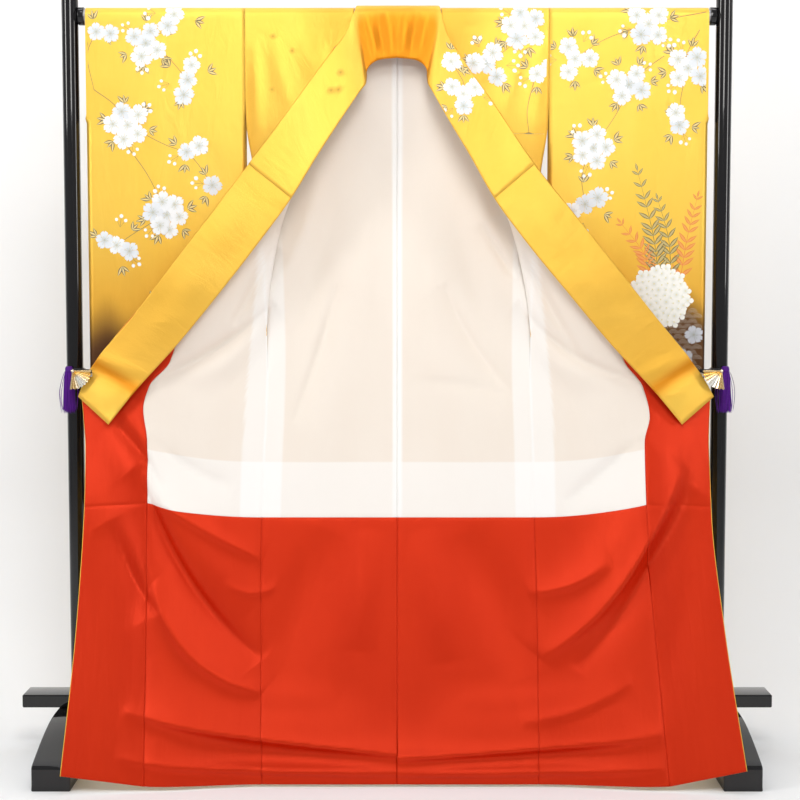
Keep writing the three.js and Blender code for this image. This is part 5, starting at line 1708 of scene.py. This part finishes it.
def fan(side):
    """A pleated sheet: the height of its pleats grows with the radius, and its outer edge is scalloped
    with them. Two guards lie along its sides, and a stud holds all of it at the hub."""
    across = np.linspace(0, FAN_PLEATS, FAN_PLEATS * 4 + 1)
    radius = np.linspace(FAN_HUB, FAN_RADIUS, 12)
    rib, r = np.meshgrid(across, radius, indexing="ij")
    angle = FAN_FACING + FAN_SPREAD * (0.5 - rib / FAN_PLEATS)
    fold = np.abs((rib % 2) - 1) * 2 - 1
    share = (r - FAN_HUB) / (FAN_RADIUS - FAN_HUB)
    reach = r + 1.2 * share**6 * fold
    front, back = fan_ring(angle, reach, FAN_MIDDLE + 1.5 * fold * r / FAN_RADIUS, 0.5)
    # One closed ring for each rib: out along the front, back along the rear.
    rings = np.concatenate([front, back[:, ::-1]], 1)
    parts = [skin(rings)]
    # Pale over the middle ribs: partly a paler leaf, partly a painted reflection.
    silver_leaf_and_glint = bump(rib / FAN_PLEATS, 0.42, 0.26) * fade(share, 0.1, 0.4)
    tones = [np.concatenate([np.concatenate([silver_leaf_and_glint, silver_leaf_and_glint[:, ::-1]], 1).ravel(), [0, 0]])]
    for edge in (0, FAN_PLEATS):
        angle = FAN_FACING + FAN_SPREAD * (0.5 - edge / FAN_PLEATS)
        a = np.radians(angle)
        along, aside = np.array([np.cos(a), 0, np.sin(a)]), np.array([-np.sin(a), 0, np.cos(a)])
        turn = np.linspace(0, 2 * np.pi, 12, endpoint=False)
        reach = np.linspace(-3.5, FAN_RADIUS + 0.8, 10)
        wide = 1.0 + 1.2 * (reach / FAN_RADIUS)
        centre = np.array([FAN_CENTRE[0], FAN_MIDDLE - 0.9, FAN_CENTRE[1]]) + reach[:, None] * along
        ring = (wide[:, None, None] * np.cos(turn)[None, :, None] * aside
                + 1.1 * np.sin(turn)[None, :, None] * np.array([0, 1, 0]))
        parts.append(skin(centre[:, None] + ring))
        tones.append(np.full(len(parts[-1][0]), 0.25))
    stud_profile = [(0.01, -3.2), (1.6, -3.0), (2.6, -2.2), (2.8, -1.2), (2.8, 1.4), (0.01, 1.6)]
    stud = turned_rings(stud_profile, sides=24)
    parts.append(skin(stud[..., [0, 2, 1]] + (FAN_CENTRE[0], FAN_MIDDLE, FAN_CENTRE[1])))
    tones.append(np.full(len(parts[-1][0]), 0.6))
    points, faces = parts[0]
    for more_points, more_faces in parts[1:]:
        faces = faces + [[number + len(points) for number in face] for face in more_faces]
        points = np.concatenate([points, more_points])
    if side == LEFT:
        points, faces = points * (-1, 1, 1), [face[::-1] for face in faces]
    return hard_piece(f"pleated_fan_{side}", points, faces, f"fan_{side}", GILT, "gold",
                      {"silver_and_glint": np.concatenate(tones)})


for side in (LEFT, RIGHT):
    fan(side)

# %% Tassels
THREADS, STRAYS = 190, 9
TASSEL_OUT = 698.0            # mm from the middle of the rod to the middle of a tassel
PURPLE_DEEP, PURPLE_LIGHT = (0.045, 0.004, 0.15, 1), (0.17, 0.020, 0.40, 1)


def thread_material():
    """Twisted silk thread: fine slanting waves, and a purple of its own for each thread."""
    material, tree, shader = new_material(
        "purple thread", PURPLE_LIGHT[:3], 0.55, Sheen_Weight=0.05, Specular_IOR_Level=0.2)
    tone = named_value(tree, "tone").outputs["Fac"]
    tree.links.new(blend_colours(tree, tone, PURPLE_DEEP, PURPLE_LIGHT), shader.inputs["Base Color"])
    place = node(tree, "ShaderNodeTexCoord").outputs["Object"]
    twist = node(tree, "ShaderNodeTexWave", {"Vector": place, "Scale": 700.0, "Distortion": 2.0},
                 bands_direction="DIAGONAL")
    raised = node(tree, "ShaderNodeBump",
                  {"Height": twist.outputs["Fac"], "Strength": 0.4, "Distance": 0.0003})
    tree.links.new(raised.outputs[0], shader.inputs["Normal"])
    return material


PURPLE = thread_material()


def tassel(side, seed):
    """Threads hang from a flattened ring of roots. Each spreads as a root of its length, waves a little,
    and is a thin three-sided tube that closes at both ends. Above them sits a wound head."""
    low, high = corners_mm(f"tassel_{side}")
    out = TASSEL_OUT if side == RIGHT else -TASSEL_OUT
    middle = np.array([out, high[1] - 5.4, high[2] - 5.0])
    draw = np.random.default_rng(seed)
    count = THREADS + STRAYS
    share = np.sqrt((np.arange(count) + 0.5) / count)
    turn = np.arange(count) * np.radians(GOLDEN_ANGLE)
    length = draw.uniform(86, 96, count)
    stray = np.arange(count) >= THREADS
    k = np.linspace(0, 1, 12)[None]
    spread = 8.5 + (13.5 + 6.0 * stray)[:, None] * 0.42 * k**0.6 + stray[:, None] * 7 * np.sin(np.pi * k)
    waves, phase = draw.uniform(0.7, 1.6, count)[:, None], draw.uniform(0, 1, count)[:, None]
    wave = 0.7 * np.sin(2 * np.pi * (waves * k + phase)) * k
    x = (share * np.cos(turn))[:, None] * spread + wave
    y = (share * np.sin(turn))[:, None] * spread * 0.5 - wave * 0.4 - 4.0 * k
    z = -5.0 - (length[:, None] - 5.0) * k
    path = np.stack([x, y, z], -1)
    sides = np.linspace(0, 2 * np.pi, 3, endpoint=False)
    radius = 0.62 * np.sqrt(np.clip(np.minimum(k * 30, (1 - k) * 30), 0.02, 1))
    circle = np.stack([np.cos(sides), np.sin(sides), 0 * sides], -1)
    points = path[:, :, None] + radius[..., None, None] * circle
    number = np.arange(points[..., 0].size).reshape(points.shape[:3])
    a, b = number, np.roll(number, -1, axis=2)
    quads = np.stack([a[:, :-1], a[:, 1:], b[:, 1:], b[:, :-1]], -1).reshape(-1, 4)[:, ::-1]
    faces = [list(face) for face in quads]
    faces += [list(face) for face in a[:, 0, ::-1]] + [list(face) for face in a[:, -1]]
    faces = [face[::-1] for face in faces]
    points = points.reshape(-1, 3)
    tone = np.repeat(draw.uniform(0, 1, count), k.size * 3) * 0.8 + 0.1
    v = np.linspace(0, 1, 34)
    wound = 8.6 * np.sin(np.pi * (0.16 + 0.62 * v)) ** 0.5 + 0.35 * np.cos(v * 18 * np.pi)
    head = [(0.01, 4.6)] + list(zip(wound, 4.4 - 12.5 * v)) + [(0.01, -8.4)]
    head_points, head_faces = skin(turned_rings(head, sides=36) * (1, 0.56, 1))
    faces = faces + [[number + len(points) for number in face] for face in head_faces]
    points = np.concatenate([points, head_points]) + middle
    tone = np.concatenate([tone, np.full(len(head_points), 0.35)])
    hard_piece(f"thread_tassel_{side}", points, faces, f"tassel_{side}", PURPLE, "purple_thread",
               {"tone": tone})
    print("tassel reaches", points.min(0).round(1), points.max(0).round(1), "in", low.round(1), high.round(1))


tassel(LEFT, 61), tassel(RIGHT, 62)
